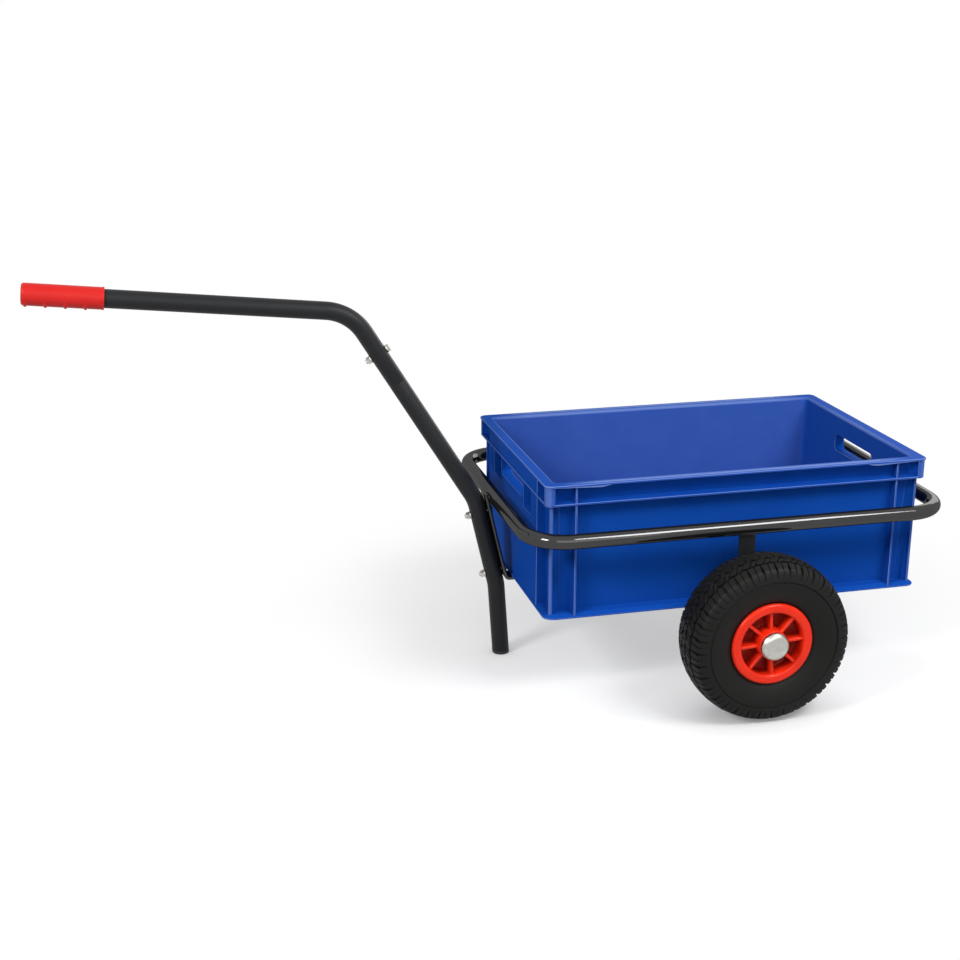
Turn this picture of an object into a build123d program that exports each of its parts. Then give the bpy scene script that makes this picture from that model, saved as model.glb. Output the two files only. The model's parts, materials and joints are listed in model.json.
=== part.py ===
from build123d import *
from math import cos, radians, sin, tan
import os

# Hand cart: a plastic stacking crate that stands in a tubular hoop, on one axle with two air-tyred
# wheels, pulled by a bent drawbar whose lower end is also the parking leg.
# Millimetres and degrees. X runs along the cart with the drawbar towards -X, Y across it, Z up from
# the ground. Every piece is first placed with the axle over x = 0, and the whole cart is then moved
# along X so that the middle of its length is at x = 0.

# Wheels
WHEEL_D = 245.0
TYRE_W = 85.0
SIDEWALL_D = 186.0
SHOULDER_D = 232.0
SHOULDER_W = 70.0
SHOULDER_STEP = 3.0
TYRE_WALL = 9.0
TREAD_T = 10.0
BEAD_D = 101.6
BEAD_W = 11.5
TUBE_WALL = 2.0
TUBE_GAP = 0.3
RIM_D = 123.4
RIM_W = 72.0
LIP_W = 14.2
LIP_T = 6.0
LIP_ROUND = 2.6
BEAD_GAP = 0.2
WEB_IN = 8.0
WEB_T = 4.0
SPOKES = 8
SPOKE_T = 4.5
SPOKE_SINK = 4.5
HUB_D = 45.0
HUB_LEN = 76.0
ROLLERS = 9
ROLLER_D = 5.0
ROLLER_LEN = 54.0
ROLLER_PLAY = 0.025
CAGE_T = 2.6
CAGE_SPARE = 6.0
RIM_SCREWS = 4
RIM_SCREW_PCD = 70.0
RIM_SCREW_D = 5.0
RIM_SCREW_HEAD_D = 10.0
RIM_SCREW_HEAD_T = 4.0
SCREW_PLAY = 0.2
BOSS_T = 3.5
VALVE_D = 8.0
VALVE_CAP_D = 6.6
VALVE_LEN = 30.0
VALVE_CAP_LEN = 9.0
VALVE_TILT = 45.0
VALVE_OFFSET = 10.0

# Axle and its retainers
AXLE_D = 20.0
RUN_GAP = 0.3
WASHER_D = 40.0
WASHER_T = 3.0
WASHER_PLAY = 0.05
CAP_D = 42.2
CAP_H = 9.5
CAP_RIM_H = 2.2
CAP_T = 1.5
CAP_GRIP_H = 6.0
CAP_FLAT_D = 17.0
AXLE_TAIL = 5.0

# Crate
CRATE_L = 600.0
CRATE_W = 400.0
CRATE_H = 206.0
WALL = 3.0
FLOOR_T = 4.0
WALL_INSET = 16.0
WALL_DRAFT = 6.0
INNER_ROUND = 8.0
RIM_T = 3.0
RIM_ROUND = 10.0
RIM_EDGE = 1.0
LIP_H = 3.0
LIP_WALL = 2.5
LIP_LEN = 98.0
LIP_STEP = 14.0
LID_SLOT_POS = 74.0
LID_SLOT_L = 7.0
LID_SLOT_W = 3.0
FLANGE_DROP = 30.0
FLANGE_T = 3.0
FLANGE_INSET = 1.5
POST_INSET = 9.5
POST_FACE = 5.0
POST_ROUND = 4.5
RIB_POS = 47.5
RIB_T = 3.0
RIB_SETBACK = 2.0
FOOT_EDGE_H = 2.0
FOOT_SLOPE_H = 4.0
FOOT_ROUND = 16.0
HAND_HOLE_W = 126.0
HAND_HOLE_H = 28.0
HAND_HOLE_ROUND = 8.0
HOLE_RIB_GAP = 1.0
POCKET_W = 42.0
POCKET_DROP = 12.0
POCKET_DEPTH = 13.0
END_BAY = 58.0
END_CELLS = 3

# Hoop, hangers and straps
HOOP_D = 22.0
HOOP_WALL = 2.0
HOOP_GAP_X = 14.0
HOOP_GAP_Y = 16.0
HOOP_BEND = 60.0
HOOP_DROP = 75.5
WHEEL_GAP = 19.5
STRAP_T = 5.0
STRAP_W = 30.0
STRAP_BEND = 4.0
STRAP_TOP = 12.0
HANGER_W = 25.0

# Drawbar
BAR_D = 26.9
BAR_WALL = 2.0
BAR_BEND = 75.0
HANDLE_SLOPE = 5.9
REACH_SLOPE = 58.3
CLAMP_SLOPE = 76.9
LEG_SLOPE = 86.0
HANDLE_LEN = 461.0
REACH_LEN = 356.0
REACH_BEND_RISE = 4.0
LEG_BEND_PAST = 10.9
SPLICE_DROP = 127.5
SPLICE_BOLT_RISE = 51.5
SPIGOT_LEN = 160.0
SPIGOT_WALL = 2.5
SPIGOT_PLAY = 0.1
PLUG_T = 5.0
PLUG_LEN = 25.0
PLUG_EDGE = 1.2
GRIP_D = 31.7
GRIP_LEN = 112.0
GRIP_END_T = 5.0
GRIP_ROUND = 4.0
GRIP_BEAD = 0.6
GRIP_BEAD_W = 2.5
GRIP_RIDGES = 4
GRIP_RIDGE_D = 4.0
GRIP_RIDGE_PITCH = 27.0
GRIP_RIDGE_START = 6.0
GRIP_RIDGE_ARC = 110.0

# Bolts through the drawbar
BOLT_D = 6.0
BOLT_PLAY = 0.2
HEX_AF = 10.0
HEX_HEAD_T = 4.0
HEX_FACE_D = 9.4
NUT_T = 5.0
FLAT_WASHER_D = 12.0
FLAT_WASHER_T = 1.6
BOLT_TAIL = 2.5
ROUND_HEAD_D = 13.0
ROUND_HEAD_T = 3.5
ROUND_HEAD_EDGE = 2.2
CLAMP_BOLT_DROP = 18.0
CLAMP_BOLT_RISE = 12.5

# Places worked out from the sizes above
axle_z = WHEEL_D / 2
crate_z = axle_z + AXLE_D / 2
rim_z = crate_z + CRATE_H
hoop_z = rim_z - HOOP_DROP
hoop_x = CRATE_L / 2 + HOOP_GAP_X + HOOP_D / 2
hoop_y = CRATE_W / 2 + HOOP_GAP_Y + HOOP_D / 2
wheel_y = hoop_y + HOOP_D / 2 + WHEEL_GAP + TYRE_W / 2
hub_end = HUB_LEN / 2
washer_in = hub_end + RUN_GAP
cap_base = washer_in + WASHER_T
bead_r = BEAD_D / 2
barrel_r = bead_r - BEAD_GAP
recess_r = RIM_D / 2 - LIP_W
hub_bore_r = AXLE_D / 2 + ROLLER_D + 2 * ROLLER_PLAY
web_out = WEB_IN + WEB_T
tyre_bead_out = RIM_W / 2 - LIP_T - BEAD_GAP
bar_bore_r = BAR_D / 2 - BAR_WALL
THROUGH = 2 * (CRATE_L + CRATE_W)


def downhill(slope):
    """Unit vector towards the crate, dropping at the slope below the horizontal."""
    return Vector(cos(radians(slope)), 0, -sin(radians(slope)))


def forward(slope):
    """Unit vector square to downhill(slope), on the side away from the crate."""
    return Vector(-sin(radians(slope)), 0, -cos(radians(slope)))


hoop_front = Vector(-hoop_x, 0, hoop_z)
clamp_down = downhill(CLAMP_SLOPE)
clamp_out = forward(CLAMP_SLOPE)
strap_back = hoop_front + clamp_out * (HOOP_D / 2)
clamp_top = strap_back + clamp_out * (STRAP_T + BAR_D / 2)
reach_bend = clamp_top - clamp_down * REACH_BEND_RISE
handle_bend = reach_bend - downhill(REACH_SLOPE) * REACH_LEN
handle_end = handle_bend - downhill(HANDLE_SLOPE) * HANDLE_LEN
strap_corner_drop = (strap_back.Z - crate_z) / sin(radians(CLAMP_SLOPE))
leg_bend = clamp_top + clamp_down * (strap_corner_drop + LEG_BEND_PAST)
leg_tip = leg_bend + downhill(LEG_SLOPE) * (leg_bend.Z / sin(radians(LEG_SLOPE)))
splice = handle_bend + downhill(REACH_SLOPE) * SPLICE_DROP
splice_out = forward(REACH_SLOPE)
splice_bolt_at = splice - downhill(REACH_SLOPE) * SPLICE_BOLT_RISE
clamp_bolts_at = [
    clamp_top + clamp_down * CLAMP_BOLT_DROP,
    clamp_top + clamp_down * (strap_corner_drop - CLAMP_BOLT_RISE),
]


def rod(start, direction, diameter, length):
    """Solid round bar from a point along a direction."""
    return Plane(start, z_dir=direction) * Cylinder(
        diameter / 2, length, align=(Align.CENTER, Align.CENTER, Align.MIN)
    )


def hexagon(start, direction, length):
    """Bolt head or nut from a point along a direction, with the corners of its far face turned off."""
    bar = extrude(RegularPolygon(HEX_AF / 2, 6, major_radius=False), length)
    face_r = HEX_FACE_D / 2
    spread = length / tan(radians(30))
    cone = Cone(face_r + spread, face_r, length, align=(Align.CENTER, Align.CENTER, Align.MIN))
    return Plane(start, z_dir=direction) * (bar & cone)


def ring(start, direction, outer_d, inner_d, length):
    """Flat ring from a point along a direction."""
    return rod(start, direction, outer_d, length) - rod(start, direction, inner_d, length)


def slab(length, width, corner, low, high):
    """Upright block with rounded corners, between two heights above the crate's underside."""
    return Pos(0, 0, crate_z + low) * extrude(RectangleRounded(length, width, corner), high - low)


def block(x, y, low, high, length, width):
    """Plain block about a point of the crate's plan, between two heights above its underside."""
    return Pos(x, y, crate_z + (low + high) / 2) * Box(length, width, high - low)


def each_corner(solid):
    """The four copies of a corner feature, mirrored across the crate's two middle planes."""
    pair = [solid, mirror(solid, Plane.YZ)]
    return pair + [mirror(s, Plane.XZ) for s in pair]


def each_end(solid):
    """The two copies of a feature of the crate's end walls."""
    return [solid, mirror(solid, Plane.YZ)]


def bent_tube(points, diameter, wall, radii):
    """Round tube along straight runs joined by tangent arcs."""
    path = FilletPolyline(*points, radius=radii)
    section = Plane(path @ 0, z_dir=path % 0) * (Circle(diameter / 2) - Circle(diameter / 2 - wall))
    return sweep(section, path)


def bent_bar(points, width, thickness, inside_radius):
    """Flat bar along straight runs in the cart's middle plane, bent over a small radius."""
    path = FilletPolyline(*points, radius=inside_radius + thickness / 2)
    section = Plane(path @ 0, x_dir=(0, 1, 0), z_dir=path % 0) * Rectangle(width, thickness)
    return sweep(section, path)


# Crate


def wall_inset(height):
    """Distance of the walls' outer faces behind the rim's edge at a height: they lean with their draft."""
    return WALL_INSET + WALL_DRAFT * (1 - height / CRATE_H)


def post_outline(inset, turn, height):
    """Plan of a corner post at one height: two narrow faces that curve back into the side walls."""
    wall = wall_inset(height)
    face = POST_INSET + POST_FACE
    foot = face + wall - inset
    far_x, far_y = CRATE_L / 2, CRATE_W / 2
    with BuildSketch(Plane.XY.offset(crate_z + height)) as outline:
        with BuildLine():
            a = (far_x - foot, far_y - wall)
            b = (far_x - face, far_y - inset)
            c = (far_x - inset - turn, far_y - inset)
            d = (far_x - inset, far_y - inset - turn)
            e = (far_x - inset, far_y - face)
            f = (far_x - wall, far_y - foot)
            g = (far_x - wall - WALL, far_y - foot)
            h = (far_x - foot, far_y - wall - WALL)
            RadiusArc(a, b, wall - inset)
            Line(b, c)
            RadiusArc(c, d, turn)
            Line(d, e)
            RadiusArc(e, f, wall - inset)
            Polyline(f, g, h, a)
        make_face()
    return outline.sketch


def corner_post(inset, turn, low, high):
    """Post at one corner, from one height above the crate's underside to another."""
    return loft([post_outline(inset, turn, low), post_outline(inset, turn, high)])


def side_rib(inset, low, high):
    """Thin upright rib of the long side near one corner."""
    depth = WALL_INSET + WALL_DRAFT - inset + WALL / 2
    return block(CRATE_L / 2 - RIB_POS, CRATE_W / 2 - inset - depth / 2, low, high, RIB_T, depth)


def end_block(y, width, inset, depth, low, high):
    """Block in one end wall: its outer face lies at an inset, and it is that deep."""
    return block(CRATE_L / 2 - inset - depth / 2, y, low, high, depth, width)


def end_panel(inset, low, high):
    """Flat outer part of one end wall, as far out as the ribs, between the bays beside the posts."""
    return end_block(0, CRATE_W - 2 * END_BAY, inset, WALL_INSET + WALL_DRAFT - inset + WALL / 2, low, high)


def end_hollows(body, inset, high):
    """Hollows between the flat panel of one end and the wall behind it, open underneath."""
    inner = CRATE_W - 2 * END_BAY - 2 * WALL
    width = (inner - (END_CELLS - 1) * RIB_T) / END_CELLS
    depth = WALL_INSET + WALL_DRAFT - inset
    places = [(i - (END_CELLS - 1) / 2) * (width + RIB_T) for i in range(END_CELLS)]
    return [end_block(y, width, inset + WALL, depth, -WALL, high) - body for y in places]


def lip_wedge(low):
    """Deeper part of the rim's edge on a long side: it grows from the corner and ends in a short step."""
    near_x = CRATE_L / 2 - RIM_ROUND
    far_x = CRATE_L / 2 - LIP_LEN
    high = low + RIM_T / 2
    deepest = (far_x + LIP_STEP, low - LIP_H)
    outline = Polygon((near_x, low), (near_x, high), (far_x, high), (far_x, low), deepest, align=None)
    return extrude(Plane.XZ.offset(CRATE_W / 2 - LIP_WALL) * Pos(0, crate_z) * outline, LIP_WALL)


def hole_pockets(inset, hole_low, flange_low):
    """Pockets on both sides of the hand hole in the panel of one end."""
    y = HAND_HOLE_W / 2 + HOLE_RIB_GAP + RIB_T + POCKET_W / 2
    return [
        end_block(side * y, POCKET_W, inset - WALL, POCKET_DEPTH + WALL, hole_low - POCKET_DROP, flange_low)
        for side in (-1, 1)
    ]


def tapered(behind, corner, low, high):
    """Upright block whose sides lean like the walls, a distance behind their outer faces."""
    outlines = []
    for height in (low, high):
        margin = 2 * (wall_inset(height) + behind)
        outline = RectangleRounded(CRATE_L - margin, CRATE_W - margin, corner)
        outlines.append(Plane.XY.offset(crate_z + height) * outline)
    return loft(outlines)


def make_crate():
    """Open stacking crate, moulded in one piece."""
    flange_l, flange_w = CRATE_L - 2 * FLANGE_INSET, CRATE_W - 2 * FLANGE_INSET
    post_l, post_w = CRATE_L - 2 * POST_INSET, CRATE_W - 2 * POST_INSET
    rim_low = CRATE_H - RIM_T
    flange_low = CRATE_H - FLANGE_DROP - FLANGE_T / 2
    flange_high = flange_low + FLANGE_T
    hole_low = flange_low - HAND_HOLE_H
    flange_round = RIM_ROUND - FLANGE_INSET

    body = tapered(0, INNER_ROUND + WALL, 0, CRATE_H - RIM_T / 2)
    rim = slab(CRATE_L, CRATE_W, RIM_ROUND, rim_low, CRATE_H)
    rim = fillet(rim.edges().group_by(Axis.Z)[-1], RIM_EDGE)
    flange = slab(flange_l, flange_w, flange_round, flange_low, flange_high)
    foot_edge = slab(flange_l, flange_w, FOOT_ROUND, 0, FOOT_EDGE_H)
    slope_low = crate_z + FOOT_EDGE_H
    foot_slope = loft([
        Plane.XY.offset(slope_low) * RectangleRounded(flange_l, flange_w, FOOT_ROUND),
        Plane.XY.offset(slope_low + FOOT_SLOPE_H) * RectangleRounded(post_l, post_w, POST_ROUND),
    ])

    features = [rim, flange, foot_edge, foot_slope]
    features += each_corner(lip_wedge(rim_low))
    features += each_corner(corner_post(POST_INSET, POST_ROUND, FOOT_EDGE_H, flange_low))
    features += each_corner(corner_post(FLANGE_INSET, flange_round, flange_high, rim_low))
    rib_inset = FLANGE_INSET + RIB_SETBACK
    for low, high in ((FOOT_EDGE_H, flange_low), (flange_high, rim_low)):
        features += each_corner(side_rib(rib_inset, low, high))
        features += each_end(end_panel(rib_inset, low, high))
    crate = body.fuse(*features)
    hollows = end_hollows(body, rib_inset, hole_low - POCKET_DROP - WALL)
    hollows += hole_pockets(rib_inset, hole_low, flange_low)
    hollows = [copy for hollow in hollows for copy in each_end(hollow)]

    cavity = tapered(WALL, INNER_ROUND, FLOOR_T, CRATE_H + WALL)
    hole_plan = RectangleRounded(HAND_HOLE_W, HAND_HOLE_H, HAND_HOLE_ROUND)
    hole_at = (-CRATE_L, 0, crate_z + hole_low + HAND_HOLE_H / 2)
    holes = extrude(Plane(hole_at, x_dir=(0, 1, 0), z_dir=(1, 0, 0)) * hole_plan, 2 * CRATE_L)
    slot_x, slot_y = CRATE_L / 2 - LID_SLOT_POS, (CRATE_W - WALL_INSET) / 2
    slot = block(slot_x, slot_y, rim_low - RIM_T, CRATE_H + RIM_T, LID_SLOT_L, LID_SLOT_W)
    return crate - cavity - holes - each_corner(slot) - hollows


# Hoop, hangers, straps and axle


def hoop_run(axis, at):
    """Solid bar as thick as the hoop's tube, for coping what butts against it."""
    turn = Rot(0, 90, 0) if axis == "x" else Rot(90, 0, 0)
    return Pos(*at) * turn * Cylinder(HOOP_D / 2, THROUGH)


def make_hoop():
    """Round tube bent into a rectangle with rounded corners and welded into a closed ring."""
    path = Pos(0, 0, hoop_z) * RectangleRounded(2 * hoop_x, 2 * hoop_y, HOOP_BEND).wire()
    section_plane = Plane(path @ 0, z_dir=path % 0)
    outer = sweep(section_plane * Circle(HOOP_D / 2), path)
    inner = sweep(section_plane * Circle(HOOP_D / 2 - HOOP_WALL), path)
    return outer - inner


def make_hanger(side):
    """Upright flat bar between the axle's square part and the underside of the hoop."""
    y = side * hoop_y
    bar = Pos(0, y, (crate_z + hoop_z) / 2) * Box(HANGER_W, STRAP_T, hoop_z - crate_z)
    return bar - hoop_run("x", (0, y, hoop_z))


def make_front_strap():
    """Flat bar down the front of the hoop and under the crate to the axle, drilled for two bolts."""
    middle = strap_back + clamp_out * (STRAP_T / 2)
    under_z = crate_z - STRAP_T / 2
    drop = (middle.Z - under_z) / sin(radians(CLAMP_SLOPE))
    corner = middle + clamp_down * drop
    points = [middle - clamp_down * STRAP_TOP, corner, Vector(-AXLE_D / 2, 0, under_z)]
    bar = bent_bar(points, STRAP_W, STRAP_T, STRAP_BEND)
    for at in clamp_bolts_at:
        bar -= rod(at, -clamp_out, BOLT_D + 2 * BOLT_PLAY, BAR_D / 2 + 2 * STRAP_T)
    return bar


def make_rear_strap():
    """Flat bar from the underside of the hoop's rear end and under the crate to the axle."""
    under_z = crate_z - STRAP_T / 2
    points = [Vector(hoop_x, 0, hoop_z), Vector(hoop_x, 0, under_z), Vector(AXLE_D / 2, 0, under_z)]
    return bent_bar(points, STRAP_W, STRAP_T, STRAP_BEND) - hoop_run("y", (hoop_x, 0, hoop_z))


def make_axle():
    """Square bar under the crate whose ends are turned round for the wheels."""
    shoulder = wheel_y - cap_base
    bar = Pos(0, 0, axle_z) * Box(AXLE_D, 2 * shoulder, AXLE_D)
    journal = rod((0, shoulder, axle_z), (0, 1, 0), AXLE_D, 2 * cap_base + AXLE_TAIL)
    return bar + journal + mirror(journal, Plane.XZ)


# Drawbar


def make_lower_tube():
    """Lower half of the drawbar: from the splice, past the clamp bolts, to the parking leg."""
    below = leg_tip + downhill(LEG_SLOPE) * BAR_D
    tube = bent_tube([splice, reach_bend, leg_bend, below], BAR_D, BAR_WALL, BAR_BEND)
    ground = Pos(leg_tip.X, 0, PLUG_T - BAR_D) * Box(4 * BAR_D, 4 * BAR_D, 2 * BAR_D)
    for at in clamp_bolts_at:
        tube -= rod(at - clamp_out * BAR_D, clamp_out, BOLT_D + 2 * BOLT_PLAY, 2 * BAR_D)
    return tube - ground


def make_upper_tube():
    """Upper half of the drawbar: the handle run and the bend down to the splice."""
    start = handle_end + downhill(HANDLE_SLOPE) * GRIP_END_T
    tube = bent_tube([start, handle_bend, splice], BAR_D, BAR_WALL, BAR_BEND)
    hole = rod(splice_bolt_at - splice_out * BAR_D, splice_out, BOLT_D + 2 * BOLT_PLAY, 2 * BAR_D)
    return tube - hole


def make_spigot():
    """Inner tube that joins the two halves of the drawbar."""
    outer = 2 * (bar_bore_r - SPIGOT_PLAY)
    down = downhill(REACH_SLOPE)
    tube = ring(splice - down * (SPIGOT_LEN / 2), down, outer, outer - 2 * SPIGOT_WALL, SPIGOT_LEN)
    return tube - rod(splice_bolt_at - splice_out * BAR_D, splice_out, BOLT_D + 2 * BOLT_PLAY, 2 * BAR_D)


def make_foot_plug():
    """Plastic plug in the end of the leg, with a level sole."""
    down = downhill(LEG_SLOPE)
    above = PLUG_LEN + PLUG_T
    sole = rod(leg_tip - down * above, down, BAR_D, above + BAR_D)
    sole &= Pos(leg_tip.X, 0, PLUG_T / 2) * Box(4 * BAR_D, 4 * BAR_D, PLUG_T)
    sole = fillet(sole.faces().sort_by(Axis.Z)[0].edges(), PLUG_EDGE)
    stem = rod(leg_tip - down * above, down, 2 * bar_bore_r, above)
    stem -= Pos(leg_tip.X, 0, PLUG_T - BAR_D) * Box(4 * BAR_D, 4 * BAR_D, 2 * BAR_D)
    return sole + stem


def make_grip():
    """Slip-on grip with a closed end, a bead at its mouth and finger ridges underneath."""
    along = downhill(HANDLE_SLOPE)
    place = Plane(handle_end, x_dir=forward(HANDLE_SLOPE), z_dir=along)
    half = GRIP_D / 2
    body = Cylinder(half, GRIP_LEN, align=(Align.CENTER, Align.CENTER, Align.MIN))
    body = fillet(body.edges().group_by(Axis.Z)[0], GRIP_ROUND)
    bead = Cylinder(half + GRIP_BEAD, GRIP_BEAD_W, align=(Align.CENTER, Align.CENTER, Align.MAX))
    body += Pos(0, 0, GRIP_LEN) * bead
    for i in range(GRIP_RIDGES):
        height = GRIP_RIDGE_START + i * GRIP_RIDGE_PITCH
        section = Plane.XZ * Pos(half, height) * Circle(GRIP_RIDGE_D / 2)
        body += Rot(0, 0, -GRIP_RIDGE_ARC / 2) * revolve(section, Axis.Z, GRIP_RIDGE_ARC)
    bore = Pos(0, 0, GRIP_END_T) * Cylinder(
        BAR_D / 2, GRIP_LEN, align=(Align.CENTER, Align.CENTER, Align.MIN)
    )
    return place * (body - bore)


# Bolts


def bolt_stack(at, out, grip_back, round_head):
    """Bolt through the drawbar with its nut and washer; out points from the tube to the nut."""
    surface = BAR_D / 2
    nut_at = surface + FLAT_WASHER_T
    tail = nut_at + NUT_T + BOLT_TAIL
    head_at = surface + grip_back
    if round_head:
        head = rod(at - out * head_at, -out, ROUND_HEAD_D, ROUND_HEAD_T)
        head = fillet(head.edges().sort_by_distance(at)[-1], ROUND_HEAD_EDGE)
    else:
        head = hexagon(at - out * head_at, -out, HEX_HEAD_T)
    bolt = head + rod(at - out * head_at, out, BOLT_D, head_at + tail)
    nut = hexagon(at + out * nut_at, out, NUT_T) - rod(at, out, BOLT_D, 2 * tail)
    return bolt, nut, tube_washer(at, out)


def tube_washer(at, out):
    """Washer on the drawbar round the bolt at a point, on the side that out points to."""
    return ring(at + out * (BAR_D / 2), out, FLAT_WASHER_D, BOLT_D + 2 * BOLT_PLAY, FLAT_WASHER_T)


# Wheels, built about the Y axis with +Y away from the cart


def turned(*outline):
    """Solid turned about the Y axis from an outline of (radius, offset) points and arcs."""
    with BuildSketch() as sketch:
        with BuildLine():
            for piece in outline:
                if len(piece) == 3:
                    ThreePointArc(*piece)
                else:
                    Line(*piece)
        make_face()
    return revolve(sketch.sketch, Axis.Y)


def barrel(outer_r, inner_r, low, high):
    """Hollow cylinder about the Y axis between two offsets."""
    return ring((0, low, 0), (0, 1, 0), 2 * outer_r, 2 * inner_r, high - low)


def make_tyre():
    """Air tyre: crown, shoulders and bulging sidewalls down to two beads, round an oval cavity."""
    crown, half = WHEEL_D / 2, TYRE_W / 2
    side_r, shoulder_r = SIDEWALL_D / 2, SHOULDER_D / 2
    heel = (bead_r, tyre_bead_out)
    lip = (RIM_D / 2, tyre_bead_out)
    side = (side_r, half)
    shoulder = (shoulder_r, SHOULDER_W / 2)
    side_top = (shoulder_r - SHOULDER_STEP, SHOULDER_W / 2 + SHOULDER_STEP)

    def other(point):
        return (point[0], -point[1])

    solid = turned(
        (heel, lip),
        (lip, side, side_top),
        (side_top, shoulder),
        (shoulder, (crown, 0), other(shoulder)),
        (other(shoulder), other(side_top)),
        (other(side_top), other(side), other(lip)),
        (other(lip), other(heel)),
        (other(heel), heel),
    )
    mouth = tyre_bead_out - BEAD_W
    return solid - oval_ring(0) - barrel(side_r, recess_r, -mouth, mouth)


def oval_ring(shrink):
    """Ring of oval section: the cavity of the tyre, made smaller all round by the shrink."""
    low, high = bead_r, WHEEL_D / 2 - TREAD_T
    oval = Ellipse((high - low) / 2 - shrink, TYRE_W / 2 - TYRE_WALL - shrink)
    return revolve(Pos((low + high) / 2, 0) * oval, Axis.Y)


def valve_line():
    """Start and direction of the valve, which leans out of the inner side of the rim."""
    direction = Vector(-sin(radians(VALVE_TILT)), -cos(radians(VALVE_TILT)), 0)
    base = Vector(bead_r, -VALVE_OFFSET, 0)
    return base - direction * VALVE_D, direction


VALVE_TURN = Rot(0, 1.5 * 360 / SPOKES, 0)


def make_valve():
    """Rubber valve stem with its dust cap."""
    start, direction = valve_line()
    stem = rod(start, direction, VALVE_D, VALVE_LEN - VALVE_CAP_LEN)
    tip = rod(start + direction * (VALVE_LEN - VALVE_CAP_LEN), direction, VALVE_CAP_D, VALVE_CAP_LEN)
    return VALVE_TURN * (stem + tip) - oval_ring(TUBE_GAP)


def rim_half():
    """Outer half of the rim: barrel, rounded lip, web, spokes and hub."""
    lip_mid = RIM_D / 2 - LIP_W / 2
    half = RIM_W / 2
    lip = revolve(Pos(lip_mid, half - LIP_T / 2) * RectangleRounded(LIP_W, LIP_T, LIP_ROUND), Axis.Y)
    half_solid = barrel(barrel_r, recess_r, 0, half - LIP_T / 2) + lip
    half_solid += barrel(recess_r + WALL / 2, HUB_D / 2 - WALL, WEB_IN, web_out)
    half_solid += barrel(HUB_D / 2, hub_bore_r, 0, hub_end)
    spoke_top = half - SPOKE_SINK
    spoke_in, spoke_out = HUB_D / 2 - WALL, recess_r + WALL / 2
    spoke = Pos((spoke_in + spoke_out) / 2, (WEB_IN + spoke_top) / 2, 0) * Box(
        spoke_out - spoke_in, spoke_top - WEB_IN, SPOKE_T
    )
    for i in range(SPOKES):
        half_solid += Rot(0, i * 360 / SPOKES, 0) * spoke
    for turn in screw_turns():
        half_solid += turn * rod((RIM_SCREW_PCD / 2, 0, 0), (0, 1, 0), RIM_SCREW_D + 2 * BOSS_T, WEB_IN)
    return half_solid


def screw_turns():
    """Turns about the axle that bring a rim screw into every second gap between spokes."""
    step = 360 / SPOKES
    return [Rot(0, step / 2 + i * 360 / RIM_SCREWS, 0) for i in range(RIM_SCREWS)]


def rim_screw_hole(diameter, low, high):
    """Bars that cut one hole for each rim screw."""
    bar = rod((RIM_SCREW_PCD / 2, low, 0), (0, 1, 0), diameter, high - low)
    return [turn * bar for turn in screw_turns()]


def make_rim_outer():
    """Rim half that faces away from the cart, tapped for the rim screws."""
    return rim_half() - rim_screw_hole(RIM_SCREW_D, 0, WEB_IN + WEB_T / 2)


def make_rim_inner():
    """Rim half that faces the cart, drilled for the screws and slotted for the valve."""
    start, direction = valve_line()
    slot = rod(start, direction, VALVE_D + 2 * SCREW_PLAY, VALVE_LEN)
    half = mirror(rim_half(), Plane.XZ)
    return half - rim_screw_hole(RIM_SCREW_D + 2 * SCREW_PLAY, -web_out, 0) - VALVE_TURN * slot


def make_rim_screws():
    """Screws that hold the two rim halves together, put in from the cart's side."""
    tip = WEB_IN + WEB_T / 4
    screw = rod((RIM_SCREW_PCD / 2, -web_out, 0), (0, 1, 0), RIM_SCREW_D, web_out + tip)
    screw += rod((RIM_SCREW_PCD / 2, -web_out, 0), (0, -1, 0), RIM_SCREW_HEAD_D, RIM_SCREW_HEAD_T)
    return Compound(children=[turn * screw for turn in screw_turns()])


roller_pitch_r = AXLE_D / 2 + ROLLER_D / 2 + ROLLER_PLAY


def roller(extra):
    """One bearing roller, thicker and longer by the extra."""
    size = ROLLER_LEN + 2 * extra
    return rod((roller_pitch_r, -size / 2, 0), (0, 1, 0), ROLLER_D + 2 * extra, size)


def make_rollers():
    """The ring of loose steel rollers between hub and axle."""
    return Compound(children=[Rot(0, i * 360 / ROLLERS, 0) * roller(0) for i in range(ROLLERS)])


def make_cage():
    """Plastic sleeve that keeps the rollers apart."""
    half = ROLLER_LEN / 2 + CAGE_SPARE
    cage = barrel(roller_pitch_r + CAGE_T / 2, roller_pitch_r - CAGE_T / 2, -half, half)
    for i in range(ROLLERS):
        cage -= Rot(0, i * 360 / ROLLERS, 0) * roller(SCREW_PLAY)
    return cage


def make_washer(low):
    """Thrust washer on the axle beside the hub."""
    return barrel(WASHER_D / 2, AXLE_D / 2 + WASHER_PLAY, low, low + WASHER_T)


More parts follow.
